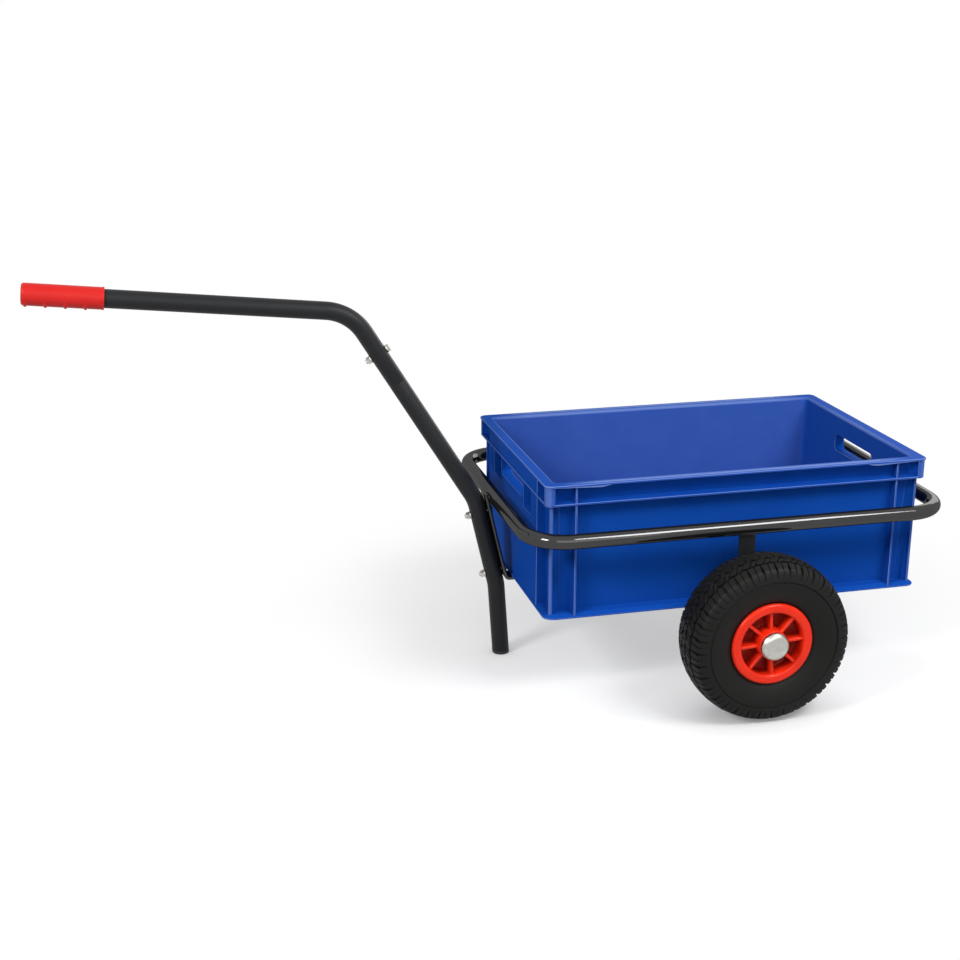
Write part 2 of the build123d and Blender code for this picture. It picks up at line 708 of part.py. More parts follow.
def make_cap():
    """Domed press-on cap that keeps the wheel on the axle."""
    rim_r, flat_r, grip_r = CAP_D / 2, CAP_FLAT_D / 2, AXLE_D / 2
    base, top = cap_base, cap_base + CAP_H
    rim = (rim_r, base + CAP_RIM_H)
    flat = (flat_r, top)
    crown = ((rim_r + 2 * flat_r) / 3 + CAP_T, base + CAP_RIM_H + 0.7 * (CAP_H - CAP_RIM_H))
    in_rim = (rim_r - CAP_T, base + CAP_RIM_H)
    in_flat = (flat_r, top - CAP_T)
    in_crown = (crown[0] - CAP_T, crown[1] - CAP_T)
    grip = grip_r + CAP_T
    return turned(
        ((grip_r, base), (rim_r, base)),
        ((rim_r, base), rim),
        (rim, crown, flat),
        (flat, (0, top)),
        ((0, top), (0, top - CAP_T)),
        ((0, top - CAP_T), in_flat),
        (in_flat, in_crown, in_rim),
        (in_rim, (rim_r - CAP_T, base + CAP_T)),
        ((rim_r - CAP_T, base + CAP_T), (grip, base + CAP_T)),
        ((grip, base + CAP_T), (grip, base + CAP_GRIP_H)),
        ((grip, base + CAP_GRIP_H), (grip_r, base + CAP_GRIP_H)),
        ((grip_r, base + CAP_GRIP_H), (grip_r, base)),
    )


# Every piece by its node's name

splice_bolt, splice_nut, nut_washer = bolt_stack(splice_bolt_at, splice_out, FLAT_WASHER_T, False)
head_washer = tube_washer(splice_bolt_at, -splice_out)
clamp_stacks = [bolt_stack(at, clamp_out, STRAP_T, True) for at in clamp_bolts_at]

pieces = {
    "crate": make_crate(),
    "hoop_tube": make_hoop(),
    "left_hanger": make_hanger(-1),
    "right_hanger": make_hanger(1),
    "front_strap": make_front_strap(),
    "rear_strap": make_rear_strap(),
    "axle": make_axle(),
    "drawbar_lower_tube": make_lower_tube(),
    "drawbar_upper_tube": make_upper_tube(),
    "drawbar_spigot": make_spigot(),
    "foot_plug": make_foot_plug(),
    "handle_grip": make_grip(),
    "splice_bolt": splice_bolt,
    "splice_nut": splice_nut,
    "splice_washers": Compound(children=[nut_washer, head_washer]),
    "clamp_bolts": Compound(children=[stack[0] for stack in clamp_stacks]),
    "clamp_nuts": Compound(children=[stack[1] for stack in clamp_stacks]),
    "clamp_washers": Compound(children=[stack[2] for stack in clamp_stacks]),
}

wheel_pieces = {
    "tyre": make_tyre(),
    "inner_tube": oval_ring(TUBE_GAP) - oval_ring(TUBE_GAP + TUBE_WALL),
    "valve": make_valve(),
    "rim_outer_half": make_rim_outer(),
    "rim_inner_half": make_rim_inner(),
    "rim_screws": make_rim_screws(),
    "bearing_rollers": make_rollers(),
    "bearing_cage": make_cage(),
    "inner_washer": make_washer(-cap_base),
    "outer_washer": make_washer(washer_in),
    "axle_cap": make_cap(),
}
wheel_places = {
    "left": Pos(0, -wheel_y, axle_z) * Rot(0, 0, 180),
    "right": Pos(0, wheel_y, axle_z),
}
for side, place in wheel_places.items():
    for name, solid in wheel_pieces.items():
        pieces[f"{side}_{name}"] = place * solid

front_x = pieces["handle_grip"].bounding_box().min.X
rear_x = pieces["hoop_tube"].bounding_box().max.X
centre = Pos(-(front_x + rear_x) / 2, 0, 0)

os.makedirs("parts", exist_ok=True)
for name, solid in pieces.items():
    export_step(centre * solid, f"parts/{name}.step")

print("axle x", round(-(front_x + rear_x) / 2, 3), "length", round(rear_x - front_x, 3))
print("crate floor z", crate_z + FLOOR_T, "rim z", rim_z, "hoop z", hoop_z, "wheel y", wheel_y)
print("foot x", round(leg_tip.X - (front_x + rear_x) / 2, 3))
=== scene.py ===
# %% [markdown]
# # A hand cart with a stacking crate
# This lesson dresses a small two-wheeled hand cart. A blue crate stands in a hoop of painted tube, over
# an axle with two air tyres, and a bent drawbar with a red grip is bolted to the front.
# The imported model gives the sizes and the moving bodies. The surfaces that the eye follows, such as
# tubes, tyres and rims, are worked out again here with numpy, because a formula gives them smooth
# highlights that flat triangles can't.

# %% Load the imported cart
import bmesh
import bpy
import json
import numpy as np
from math import cos, radians, sin
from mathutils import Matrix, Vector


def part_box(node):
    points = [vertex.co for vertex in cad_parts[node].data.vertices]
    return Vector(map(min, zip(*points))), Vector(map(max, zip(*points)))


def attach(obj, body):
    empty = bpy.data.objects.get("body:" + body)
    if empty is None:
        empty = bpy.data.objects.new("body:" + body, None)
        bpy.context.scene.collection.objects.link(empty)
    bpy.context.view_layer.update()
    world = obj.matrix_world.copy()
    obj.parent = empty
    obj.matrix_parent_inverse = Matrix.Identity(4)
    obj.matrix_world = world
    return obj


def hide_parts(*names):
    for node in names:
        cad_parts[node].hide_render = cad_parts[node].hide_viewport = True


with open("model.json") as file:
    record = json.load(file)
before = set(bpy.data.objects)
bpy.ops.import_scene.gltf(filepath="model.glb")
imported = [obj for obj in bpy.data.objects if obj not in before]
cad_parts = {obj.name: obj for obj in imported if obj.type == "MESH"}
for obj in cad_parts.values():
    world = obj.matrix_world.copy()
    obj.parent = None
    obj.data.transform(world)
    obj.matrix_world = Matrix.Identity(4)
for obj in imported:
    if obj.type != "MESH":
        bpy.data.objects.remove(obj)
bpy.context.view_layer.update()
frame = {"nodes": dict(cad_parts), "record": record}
slot_of = {row["node"]: row["material_slot"] for row in frame["record"]["subparts"]}
MM = 0.001
axle_low, axle_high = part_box("axle")
AXLE = np.array([(axle_low.x + axle_high.x) / 2, 0, (axle_low.z + axle_high.z) / 2]) / MM
print("nodes", len(slot_of), "axle at", AXLE.round(2), "mm")

# %% [markdown]
# ## Sheets of points
# Every new piece is a sheet of points on a grid: rows run one way over the surface and columns the
# other. Numpy computes the whole sheet at once, and the mesh only receives the result. The faces are
# then welded where two lines of points meet, such as at the pole of a dome, and turned outwards. A sheet
# that closes nothing off, such as a panel, has no inside that Blender could find, so these open sheets
# are made facing the right way and are not turned.

# %% Sheets become pieces
WELD_M = 1e-6  # points closer than this are one


def grid_faces(rows, columns):
    """Four-sided faces of a grid: each joins a point to its neighbours in the next row and column."""
    index = np.arange(rows * columns).reshape(rows, columns)
    corners = [index[:-1, :-1], index[1:, :-1], index[1:, 1:], index[:-1, 1:]]
    return np.stack(corners, -1).reshape(-1, 4)


def make_piece(name, sheets, material, body, stands_for=(), crease=35, open_sheets=()):
    """One object from sheets of points in millimetres, measured from the ground under the axle.

    A sheet may come with a table of the cells to keep. Points that coincide are welded, faces are
    turned outwards, apart from those of open sheets, and edges sharper than the crease angle stay sharp
    in the shading. The piece takes the material it is given.
    """
    points, faces, start = [], [], 0
    for sheet in (*sheets, *open_sheets):
        sheet, keep = sheet if isinstance(sheet, tuple) else (sheet, None)
        cells = grid_faces(*sheet.shape[:2]) + start
        faces.append(cells if keep is None else cells[keep.ravel()])
        points.append(sheet.reshape(-1, 3))
        start += len(points[-1])
    points = (np.concatenate(points) + (AXLE[0], 0, 0)) * MM
    mesh = bpy.data.meshes.new(name)
    mesh.from_pydata(points.tolist(), [], np.concatenate(faces).tolist())
    # smooth shading marks the faces to turn while the mesh is welded, and is then set on all of them
    turned_count = sum(len(cells) for cells in faces[:len(sheets)])
    mesh.polygons.foreach_set("use_smooth", np.arange(len(mesh.polygons)) < turned_count)
    welded = bmesh.new()
    welded.from_mesh(mesh)
    bmesh.ops.remove_doubles(welded, verts=welded.verts, dist=WELD_M)
    bmesh.ops.recalc_face_normals(welded, faces=[face for face in welded.faces if face.smooth])
    welded.to_mesh(mesh)
    welded.free()
    mesh.polygons.foreach_set("use_smooth", np.ones(len(mesh.polygons), bool))
    mesh.set_sharp_from_angle(angle=radians(crease))
    mesh.materials.append(material)
    piece = bpy.data.objects.new(name, mesh)
    bpy.context.scene.collection.objects.link(piece)
    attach(piece, body)
    if stands_for:
        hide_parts(*stands_for)
    print(name, len(mesh.vertices), "points")


# %% [markdown]
# ## Helpers for finishes
# A finish is a small graph of shader nodes. Colours are written as the hex values a paint chart uses
# and turned to linear light by one function. Pattern sizes are real sizes in millimetres: a noise
# node's scale is the number of grains in a metre, so 1 / size.

# %% Colour and node helpers
NOISE_SPAN = {"From Min": 0.3, "From Max": 0.7}  # most values of a noise texture lie in here


def linear(hex_colour):
    """Linear RGBA of an sRGB hex colour: below 0.04045 divide by 12.92, above it use the 2.4 power."""
    c = np.array([int(hex_colour[i:i + 2], 16) for i in (1, 3, 5)]) / 255
    c = np.where(c <= 0.04045, c / 12.92, ((c + 0.055) / 1.055) ** 2.4)
    return (*c.tolist(), 1.0)


def add(tree, kind, inputs=None, **settings):
    """Adds one node of a kind, which is its Blender type without the word ShaderNode.

    Settings go on the node. Inputs are values, outputs to link, or nodes, whose first output in use is
    linked. In a Mix node that mixes colours, input 0 is the factor and 6 and 7 are the two colours.
    """
    node = tree.nodes.new("ShaderNode" + kind)
    for key, value in settings.items():
        setattr(node, key, value)
    for key, value in (inputs or {}).items():
        if isinstance(value, bpy.types.Node):
            value = next(output for output in value.outputs if output.enabled)
        if isinstance(value, bpy.types.NodeSocket):
            tree.links.new(value, node.inputs[key])
        else:
            node.inputs[key].default_value = value
    return node


def blank_material(name):
    """New material, its tree, and the Object coordinates, which are the tree's only node so far."""
    material = bpy.data.materials.new(name)
    material.use_nodes = True
    tree = material.node_tree
    tree.nodes.clear()
    return material, tree, add(tree, "TexCoord").outputs["Object"]


print("red of a rim as linear light", np.round(linear("#d0210a"), 3))

# %% [markdown]
# ## Blue crate plastic
# The crate is injection-moulded polypropylene. The eye sees an even, waxy blue with hardly any gloss, a
# faint cloudiness from the flow of the melt and a fine grain from the mould's surface. A paler haze is
# painted on top of the rim and inside, there most of all on the long sides: it is painted sheen and
# highlight, light that the colour stands in for. Its sharp edges carry a painted highlight, paler still.
# The painted sheen could be put on a map. But the crate is a plain box, so the inside can be told from a
# point's own place, and that needs no map.

# %% Moulded polypropylene, blue
flow_size = 90 * MM
crate_plastic, tree, place = blank_material("polypropylene_moulded_blue")
flow = add(tree, "TexNoise", {"Vector": place, "Scale": 1 / flow_size, "Detail": 3.0})
blue = add(tree, "Mix", {0: flow, 6: linear("#093d93"), 7: linear("#12459c")}, data_type="RGBA")
print(crate_plastic.name, "with clouds of", flow_size, "m")

# %% Where the painted sheen lies on the crate
WALL_TOP, WALL_T, DRAFT = 16.0, 3.0, 6.0
FLOOR_SKIN, RIM_SKIN, RIM_HIGHLIGHT, END_SHEEN = 2 * MM, 0.4 * MM, 0.3, 0.25
crate_low, crate_high = [np.array(c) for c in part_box("crate")]
middle = (crate_low + crate_high) / 2
inner = (crate_high - crate_low) / 2 - (WALL_TOP + WALL_T / 2) * MM
offset = add(tree, "VectorMath", {0: place, 1: middle.tolist()}, operation="SUBTRACT")
offset = add(tree, "VectorMath", {0: offset}, operation="ABSOLUTE")
beyond = add(tree, "VectorMath", {0: offset, 1: inner.tolist()}, operation="SUBTRACT")
beyond = add(tree, "SeparateXYZ", {0: beyond}).outputs
wall = add(tree, "Math", {0: beyond[0], 1: beyond[1]}, operation="MAXIMUM")
height = add(tree, "SeparateXYZ", {0: place}).outputs[2]
low, high = crate_low[2], crate_high[2]
lean = {"From Min": low, "From Max": high, "To Min": DRAFT * MM, "To Max": 0.0}
lean = add(tree, "MapRange", {"Value": height, **lean})
wall = add(tree, "Math", {0: wall, 1: lean}, operation="ADD")
inside = add(tree, "Math", {0: wall, 1: 0.0}, operation="LESS_THAN")
floor_up = add(tree, "Math", {0: height, 1: low + FLOOR_SKIN}, operation="GREATER_THAN")
# the rim top gets a painted highlight, paler because it faces the light from above
rim_top = add(tree, "Math", {0: height, 1: high - RIM_SKIN}, operation="GREATER_THAN")
rim_top = add(tree, "Math", {0: rim_top, 1: RIM_HIGHLIGHT}, operation="MULTIPLY")
inside = add(tree, "Math", {0: inside, 1: floor_up}, operation="MULTIPLY")
# the inner long walls get a painted sheen, and walls that face the ends get a weaker one
facet = add(tree, "SeparateXYZ", {0: add(tree, "TexCoord").outputs["Normal"]}).outputs[0]
facet = add(tree, "Math", {0: facet}, operation="ABSOLUTE")
to_ends = {"From Min": 0.2, "From Max": 0.9, "To Min": 1.0, "To Max": END_SHEEN}
facet = add(tree, "MapRange", {"Value": facet, **to_ends})
inside = add(tree, "Math", {0: inside, 1: facet}, operation="MULTIPLY")
painted_sheen = add(tree, "Math", {0: inside, 1: rim_top}, operation="MAXIMUM")
print("rubbed inside of the crate", np.round(2 * inner[:2], 3), "m")

# %% Painted sheen and edge highlights
# noise breaks the painted sheen into patches
sheen_patch_size = 45 * MM
sheen_patches = {"Vector": place, "Scale": 1 / sheen_patch_size, "Detail": 6.0, "Roughness": 0.6}
sheen_patches = add(tree, "TexNoise", sheen_patches)
sheen_patches = add(tree, "MapRange", {"Value": sheen_patches, **NOISE_SPAN, "To Min": 0.75, "To Max": 1.0})
painted_sheen = add(tree, "Math", {0: painted_sheen, 1: sheen_patches}, operation="MULTIPLY")
# a paler blue is mixed in for the painted sheen and the rim's painted highlight
tint = add(tree, "Mix", {0: painted_sheen, 6: blue, 7: linear("#3553a1")}, data_type="RGBA")
# painted highlight: sharp edges, found by pointiness, get a paler blue as if they catch the light
sharp = add(tree, "NewGeometry").outputs["Pointiness"]
highlight_span = {"From Min": 0.51, "From Max": 0.53, "To Min": 0.0, "To Max": 0.6}
edge_glint = add(tree, "MapRange", {"Value": sharp, **highlight_span})
tint = add(tree, "Mix", {0: edge_glint, 6: tint, 7: linear("#7d92c4")}, data_type="RGBA")
print("colour of the crate", len(tree.nodes), "nodes")

# %% Gloss and grain of the crate
grain_size = 1.6 * MM
grain = add(tree, "TexNoise", {"Vector": place, "Scale": 1 / grain_size, "Detail": 2.0})
gloss = add(tree, "MapRange", {"Value": flow, **NOISE_SPAN, "To Min": 0.5, "To Max": 0.58})
skin = add(tree, "Bump", {"Strength": 0.12, "Distance": 0.06 * MM, "Height": grain})
shader = add(tree, "BsdfPrincipled", {
    "Base Color": tint, "Roughness": gloss, "IOR": 1.49, "Specular IOR Level": 0.006, "Normal": skin,
})
add(tree, "OutputMaterial", {"Surface": shader})
print(crate_plastic.name, len(tree.nodes), "nodes")

# %% [markdown]
# ## Powder-coated steel
# The tubes, straps and axle are steel under an anthracite powder coat. Powder flows out as it is baked
# and leaves a shallow orange peel a few millimetres across, so long highlights waver a little. The
# frame's coat is glossy, and the duller coat of the drawbar and hangers is satin. One recipe gives both.
# The gloss could be the shader's plain specular, but at a flat angle that mirrors the whole white room. A
# fifth of the shader's coat layer, with an IOR above a real varnish's, keeps the highlight and limits that.

# %% Powder coats, anthracite
drift_size, peel_size, film_ior, film_dull = 60 * MM, 3.0 * MM, 3.0, 0.08
coats = []
for name, dark_hex, light_hex, dull, shine, film in [
    ("steel_powder_coat_gloss", "#141415", "#1a1a1b", 0.5, 0.0, 0.2),
    ("steel_powder_coat_satin", "#151618", "#1a1b1e", 0.46, 0.2, 0.0),
]:
    coat, tree, place = blank_material(name)
    drift = add(tree, "TexNoise", {"Vector": place, "Scale": 1 / drift_size, "Detail": 2.0})
    tint = add(tree, "Mix", {0: drift, 6: linear(dark_hex), 7: linear(light_hex)}, data_type="RGBA")
    peel = add(tree, "TexNoise", {"Vector": place, "Scale": 1 / peel_size, "Detail": 1.0})
    gloss = add(tree, "MapRange", {"Value": drift, **NOISE_SPAN, "To Min": dull, "To Max": dull + 0.05})
    skin = add(tree, "Bump", {"Strength": 0.1, "Distance": 0.06 * MM, "Height": peel})
    shader = add(tree, "BsdfPrincipled", {
        "Base Color": tint, "Roughness": gloss, "IOR": 1.5, "Specular IOR Level": shine, "Normal": skin,
        "Coat Weight": film, "Coat IOR": film_ior, "Coat Roughness": film_dull, "Coat Normal": skin,
    })
    add(tree, "OutputMaterial", {"Surface": shader})
    coats.append(coat)
frame_paint, bar_paint = coats
print(frame_paint.name, bar_paint.name)

# %% [markdown]
# ## Red plastics
# The grip is soft plasticised PVC, dipped and satin, with fine pores. The rims are injection-moulded
# polypropylene in a slightly more orange red, with the harder gloss of a polished mould, and painted
# shade darkens their dishes towards the web, where the recess is deep. The painted shade could be a
# map. Here it follows the distance from the wheel's middle plane, which is how deep in the dish a point
# lies, so it fits both halves of both rims.

# %% Soft PVC, red
cloud_size, pore_size = 25 * MM, 1.2 * MM
grip_vinyl, tree, place = blank_material("pvc_dipped_red")
cloud = add(tree, "TexNoise", {"Vector": place, "Scale": 1 / cloud_size, "Detail": 3.0})
tint = add(tree, "Mix", {0: cloud, 6: linear("#b71a18"), 7: linear("#c32521")}, data_type="RGBA")
pores = add(tree, "TexNoise", {"Vector": place, "Scale": 1 / pore_size, "Detail": 2.0})
skin = add(tree, "Bump", {"Strength": 0.25, "Distance": 0.08 * MM, "Height": pores})
shader = add(tree, "BsdfPrincipled", {
    "Base Color": tint, "Roughness": 0.42, "IOR": 1.53, "Specular IOR Level": 0.15, "Normal": skin,
})
add(tree, "OutputMaterial", {"Surface": shader})
print(grip_vinyl.name, len(tree.nodes), "nodes")

# %% Moulded polypropylene, red
cloud_size, grain_size = 30 * MM, 1.5 * MM
tyre_low, tyre_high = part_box("right_tyre")
WHEEL_Y = (tyre_low.y + tyre_high.y) / 2 / MM
rim_plastic, tree, place = blank_material("polypropylene_moulded_red")
cloud = add(tree, "TexNoise", {"Vector": place, "Scale": 1 / cloud_size, "Detail": 3.0})
tint = add(tree, "Mix", {0: cloud, 6: linear("#d0210a"), 7: linear("#de2d11")}, data_type="RGBA")
# painted shade in the dish: darker the nearer a point lies to the web, deep in the recess
across = add(tree, "SeparateXYZ", {0: place}).outputs[1]
across = add(tree, "Math", {0: across}, operation="ABSOLUTE")
across = add(tree, "Math", {0: across, 1: WHEEL_Y * MM}, operation="SUBTRACT")
across = add(tree, "Math", {0: across}, operation="ABSOLUTE")
dish_shade_span = {"From Min": 11 * MM, "From Max": 29 * MM, "To Min": 0.75, "To Max": 0.0}
painted_dish_shade = add(tree, "MapRange", {"Value": across, **dish_shade_span})
tint = add(tree, "Mix", {0: painted_dish_shade, 6: tint, 7: linear("#5c0f07")}, data_type="RGBA")
grain = add(tree, "TexNoise", {"Vector": place, "Scale": 1 / grain_size, "Detail": 2.0})
edge = add(tree, "Bevel", {"Radius": 0.6 * MM}, samples=6)
skin = add(tree, "Bump", {"Strength": 0.12, "Distance": 0.05 * MM, "Height": grain, "Normal": edge})
shader = add(tree, "BsdfPrincipled", {
    "Base Color": tint, "Roughness": 0.28, "IOR": 1.49, "Specular IOR Level": 0.22, "Normal": skin,
})
add(tree, "OutputMaterial", {"Surface": shader})
print(rim_plastic.name, "on wheels", round(WHEEL_Y, 1), "mm from the middle of the cart")

# %% [markdown]
# ## Black rubber and black plastic
# The tyre is cured rubber with carbon black. The eye sees a warm near-black with a broad dull sheen,
# cloudy where wax has bloomed to the surface, and a fine matte grain from the mould. The plug in the
# leg is moulded polyethylene, a greyer and plainer black. A flat black would do from far off, but close
# by the clouds and the grain are what tell rubber from paint.

# %% Cured rubber
bloom_size, grain_size = 35 * MM, 0.9 * MM
tyre_rubber, tree, place = blank_material("rubber_cured_black")
bloom = add(tree, "TexNoise", {"Vector": place, "Scale": 1 / bloom_size, "Detail": 4.0})
tint = add(tree, "Mix", {0: bloom, 6: linear("#080807"), 7: linear("#0f0e0d")}, data_type="RGBA")
matte = add(tree, "MapRange", {"Value": bloom, **NOISE_SPAN, "To Min": 0.5, "To Max": 0.64})
grain = add(tree, "TexNoise", {"Vector": place, "Scale": 1 / grain_size, "Detail": 2.0})
skin = add(tree, "Bump", {"Strength": 0.3, "Distance": 0.1 * MM, "Height": grain})
shader = add(tree, "BsdfPrincipled", {
    "Base Color": tint, "Roughness": matte, "IOR": 1.52, "Specular IOR Level": 0.16, "Normal": skin,
})
add(tree, "OutputMaterial", {"Surface": shader})
print(tyre_rubber.name, len(tree.nodes), "nodes")

# %% Black polyethylene
grain_size = 1.0 * MM
plug_plastic, tree, place = blank_material("polyethylene_moulded_black")
grain = add(tree, "TexNoise", {"Vector": place, "Scale": 1 / grain_size, "Detail": 2.0})
tint = add(tree, "Mix", {0: grain, 6: linear("#141414"), 7: linear("#1f1f20")}, data_type="RGBA")
skin = add(tree, "Bump", {"Strength": 0.3, "Distance": 0.08 * MM, "Height": grain})
shader = add(tree, "BsdfPrincipled", {"Base Color": tint, "Roughness": 0.5, "IOR": 1.51, "Normal": skin})
add(tree, "OutputMaterial", {"Surface": shader})
print(plug_plastic.name, len(tree.nodes), "nodes")

# %% [markdown]
# ## Bright metal and the bearing's nylon
# Bolts, washers and axle caps are steel with bright zinc plating: a cool grey metal whose gloss is
# clouded by the passivation bath. The rollers are ground steel and their cage is natural nylon. The
# packed bolts have sharp edges, and a Bevel node rounds their highlights without a change to the mesh.

# %% Zinc plate
bath_size = 7 * MM
zinc_plate, tree, place = blank_material("steel_zinc_plated")
bath = add(tree, "TexNoise", {"Vector": place, "Scale": 1 / bath_size, "Detail": 4.0})
tint = add(tree, "Mix", {0: bath, 6: linear("#a3a29b"), 7: linear("#c6c5be")}, data_type="RGBA")
gloss = add(tree, "MapRange", {"Value": bath, **NOISE_SPAN, "To Min": 0.36, "To Max": 0.24})
edge = add(tree, "Bevel", {"Radius": 0.3 * MM}, samples=6)
shader = add(tree, "BsdfPrincipled", {
    "Base Color": tint, "Metallic": 1.0, "Roughness": gloss, "Normal": edge,
})
add(tree, "OutputMaterial", {"Surface": shader})
print(zinc_plate.name, len(tree.nodes), "nodes")

# %% Ground steel and nylon
grit_size, cloud_size = 0.8 * MM, 10 * MM
ground_steel, tree, place = blank_material("steel_ground_bright")
grit = add(tree, "TexNoise", {"Vector": place, "Scale": 1 / grit_size, "Detail": 2.0})
gloss = add(tree, "MapRange", {"Value": grit, "To Min": 0.15, "To Max": 0.35})
shader = add(tree, "BsdfPrincipled", {
    "Base Color": linear("#c4c4c6"), "Metallic": 1.0, "Roughness": gloss,
})
add(tree, "OutputMaterial", {"Surface": shader})

cage_nylon, tree, place = blank_material("nylon_natural")
cloud = add(tree, "TexNoise", {"Vector": place, "Scale": 1 / cloud_size, "Detail": 2.0})
tint = add(tree, "Mix", {0: cloud, 6: linear("#d8d4c6"), 7: linear("#e6e3d8")}, data_type="RGBA")
shader = add(tree, "BsdfPrincipled", {"Base Color": tint, "Roughness": 0.45, "IOR": 1.53})
add(tree, "OutputMaterial", {"Surface": shader})
print(ground_steel.name, cage_nylon.name)

# %% [markdown]
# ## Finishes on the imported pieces
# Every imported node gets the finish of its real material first. The pieces that are made again below
# then replace some of these nodes, and the rest stay as they are. The record names a slot for every
# node, so one table from slot to finish dresses them all.

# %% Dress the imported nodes
by_slot = {
    "crate_plastic": crate_plastic, "frame_paint": frame_paint, "grip_vinyl": grip_vinyl,
    "plug_plastic": plug_plastic, "rim_plastic": rim_plastic, "tyre_rubber": tyre_rubber,
    "tube_rubber": tyre_rubber, "zinc_steel": zinc_plate, "bearing_steel": ground_steel,
    "cage_plastic": cage_nylon,
}
for node, slot in slot_of.items():
    mesh = frame["nodes"][node].data
    mesh.materials.clear()
    mesh.materials.append(by_slot[slot])
print("dressed", len(slot_of), "nodes")

# %% [markdown]
# ## Crate
# The crate is moulded in one shot: a thin wall, a rim and a flange that stiffen it, and a flared foot
# that nests in the rim of the crate below. It could be put together from boxes with bevels, but a mould
# has no sharp corners. So the section of the wall is drawn once with every corner rounded and then
# carried round a rectangle with rounded corners. One sheet gives outside, rim, inside and floor edge
# together, and the highlights run on without a break. The rule that rounds the section is also the one
# that bends the tubes further on: straight runs joined by tangent arcs, as a bending machine leaves them.

# %% Paths with rounded corners


def unit(v):
    """Vectors scaled to length one."""
    v = np.asarray(v, float)
    return v / np.linalg.norm(v, axis=-1, keepdims=True)


def rounded_path(points, radius, steps=14, closed=False, guard=0):
    """Points and tangents along straight runs whose corners are tangent arcs.

    At a corner between unit runs a and b that turn by an angle t, the arc's centre lies on the
    bisector at radius / cos(t / 2), and the arc sweeps from -t / 2 to t / 2 about that line. A corner
    of radius zero stays a single point. A guard adds one more point on each run, that far from the arc.
    """
    points = np.asarray(points, float)
    count = len(points)
    radii = np.broadcast_to(radius, count)
    at, along = [], []
    for i in range(count) if closed else range(1, count - 1):
        a = unit(points[i] - points[i - 1])
        b = unit(points[(i + 1) % count] - points[i])
        if radii[i] == 0:
            at.append(points[i:i + 1])
            along.append(unit(a + b)[None])
            continue
        half = np.arccos(np.clip(a @ b, -1, 1)) / 2
        inward, ahead = unit(b - a), unit(a + b)
        swing = np.linspace(-half, half, steps)[:, None]
        centre = points[i] + inward * radii[i] / np.cos(half)
        arc = centre + radii[i] * (np.sin(swing) * ahead - np.cos(swing) * inward)
        way = np.cos(swing) * ahead + np.sin(swing) * inward
        if guard:
            arc = np.concatenate([arc[:1] - guard * a, arc, arc[-1:] + guard * b])
            way = np.concatenate([way[:1], way, way[-1:]])
        at.append(arc)
        along.append(way)
    if closed:
        at.append(at[0][:1])
        along.append(along[0][:1])
    else:
        at = [points[:1]] + at + [points[-1:]]
        along = [unit(points[1:2] - points[:1])] + along + [unit(points[-1:] - points[-2:-1])]
    return np.concatenate(at), np.concatenate(along)


def rounded_outline(keys, rounding, steps, **ways):
    """Flat outline through (u, v) corners, each rounded by its own radius, as (u, v) points."""
    return rounded_path([(u, v, 0) for u, v in keys], rounding, steps, **ways)[0][:, :2]


print("one bend", len(rounded_outline([(0, 0), (9, 0), (9, 9)], 3, 14)), "points")

# %% Section of the crate's wall
CRATE_L, CRATE_W, CRATE_H = (crate_high - crate_low) / MM
CRATE_Z = crate_low[2] / MM
POST_IN, FLANGE_IN, RIB_IN, FOOT_EDGE, FOOT_TOP = 9.5, 1.5, 3.5, 2.0, 6.0
RIM_LOW, FLANGE_HIGH, FLANGE_LOW, FLOOR_T = CRATE_H - 3.0, CRATE_H - 28.5, CRATE_H - 31.5, 4.0
HOLE_HALF, HOLE_LOW, HOLE_HIGH, HOLE_ROUND = 63.0, FLANGE_LOW - 28.0, FLANGE_LOW - 1.4, 8.0
EASE, SLOT_X, SLOT_L, SLOT_IN, SLOT_OUT, MIDDLE = 0.6, 226.0, 7.0, 9.5, 6.5, 60.0
WINDOW_LOW, WINDOW_HIGH = HOLE_LOW - EASE, HOLE_HIGH + EASE


def outer(height):
    """Inset of the walls' outer face: it shrinks evenly with height, by the draft of the mould."""
    return WALL_TOP + DRAFT * (1 - height / CRATE_H)


def inner_face(height):
    """Inset of the walls' inner face: the outer one plus the thickness."""
    return outer(height) + WALL_T


section_keys = np.array([
    # inset, height, corner radius in plan, rounding of this corner of the section
    (MIDDLE, 0, 0, 0), (FLANGE_IN, 0, 16, 0.5), (FLANGE_IN, FOOT_EDGE, 16, 0.6),
    (POST_IN, FOOT_TOP, 4.5, 0.8), (outer(FOOT_TOP), FOOT_TOP, 11, 1.5),
    (outer(WINDOW_LOW), WINDOW_LOW, 11, 0), (outer(WINDOW_HIGH), WINDOW_HIGH, 11, 0),
    (outer(FLANGE_LOW), FLANGE_LOW, 11, 0.5), (FLANGE_IN, FLANGE_LOW, 8.5, 0.7),
    (FLANGE_IN, FLANGE_HIGH, 8.5, 1.0), (outer(FLANGE_HIGH), FLANGE_HIGH, 11, 1.5),
    (outer(RIM_LOW), RIM_LOW, 11, 1.5), (SLOT_IN, RIM_LOW, 11, 0), (SLOT_OUT, RIM_LOW, 11, 0),
    (0, RIM_LOW, 10, 0.5), (0, CRATE_H, 10, 1.3), (SLOT_OUT, CRATE_H, 10, 0), (SLOT_IN, CRATE_H, 10, 0),
    (inner_face(CRATE_H), CRATE_H, 8, 5.0), (inner_face(WINDOW_HIGH), WINDOW_HIGH, 8, 0),
    (inner_face(WINDOW_LOW), WINDOW_LOW, 8, 0), (inner_face(FLOOR_T), FLOOR_T, 8, 4.0),
    (MIDDLE, FLOOR_T, 0, 0),
])
section, _ = rounded_path(section_keys[:, :3], section_keys[:, 3], 6, guard=0.3)
print("crate", np.round([CRATE_L, CRATE_W, CRATE_H], 1), "section of", len(section), "points")

# %% Shell of the crate


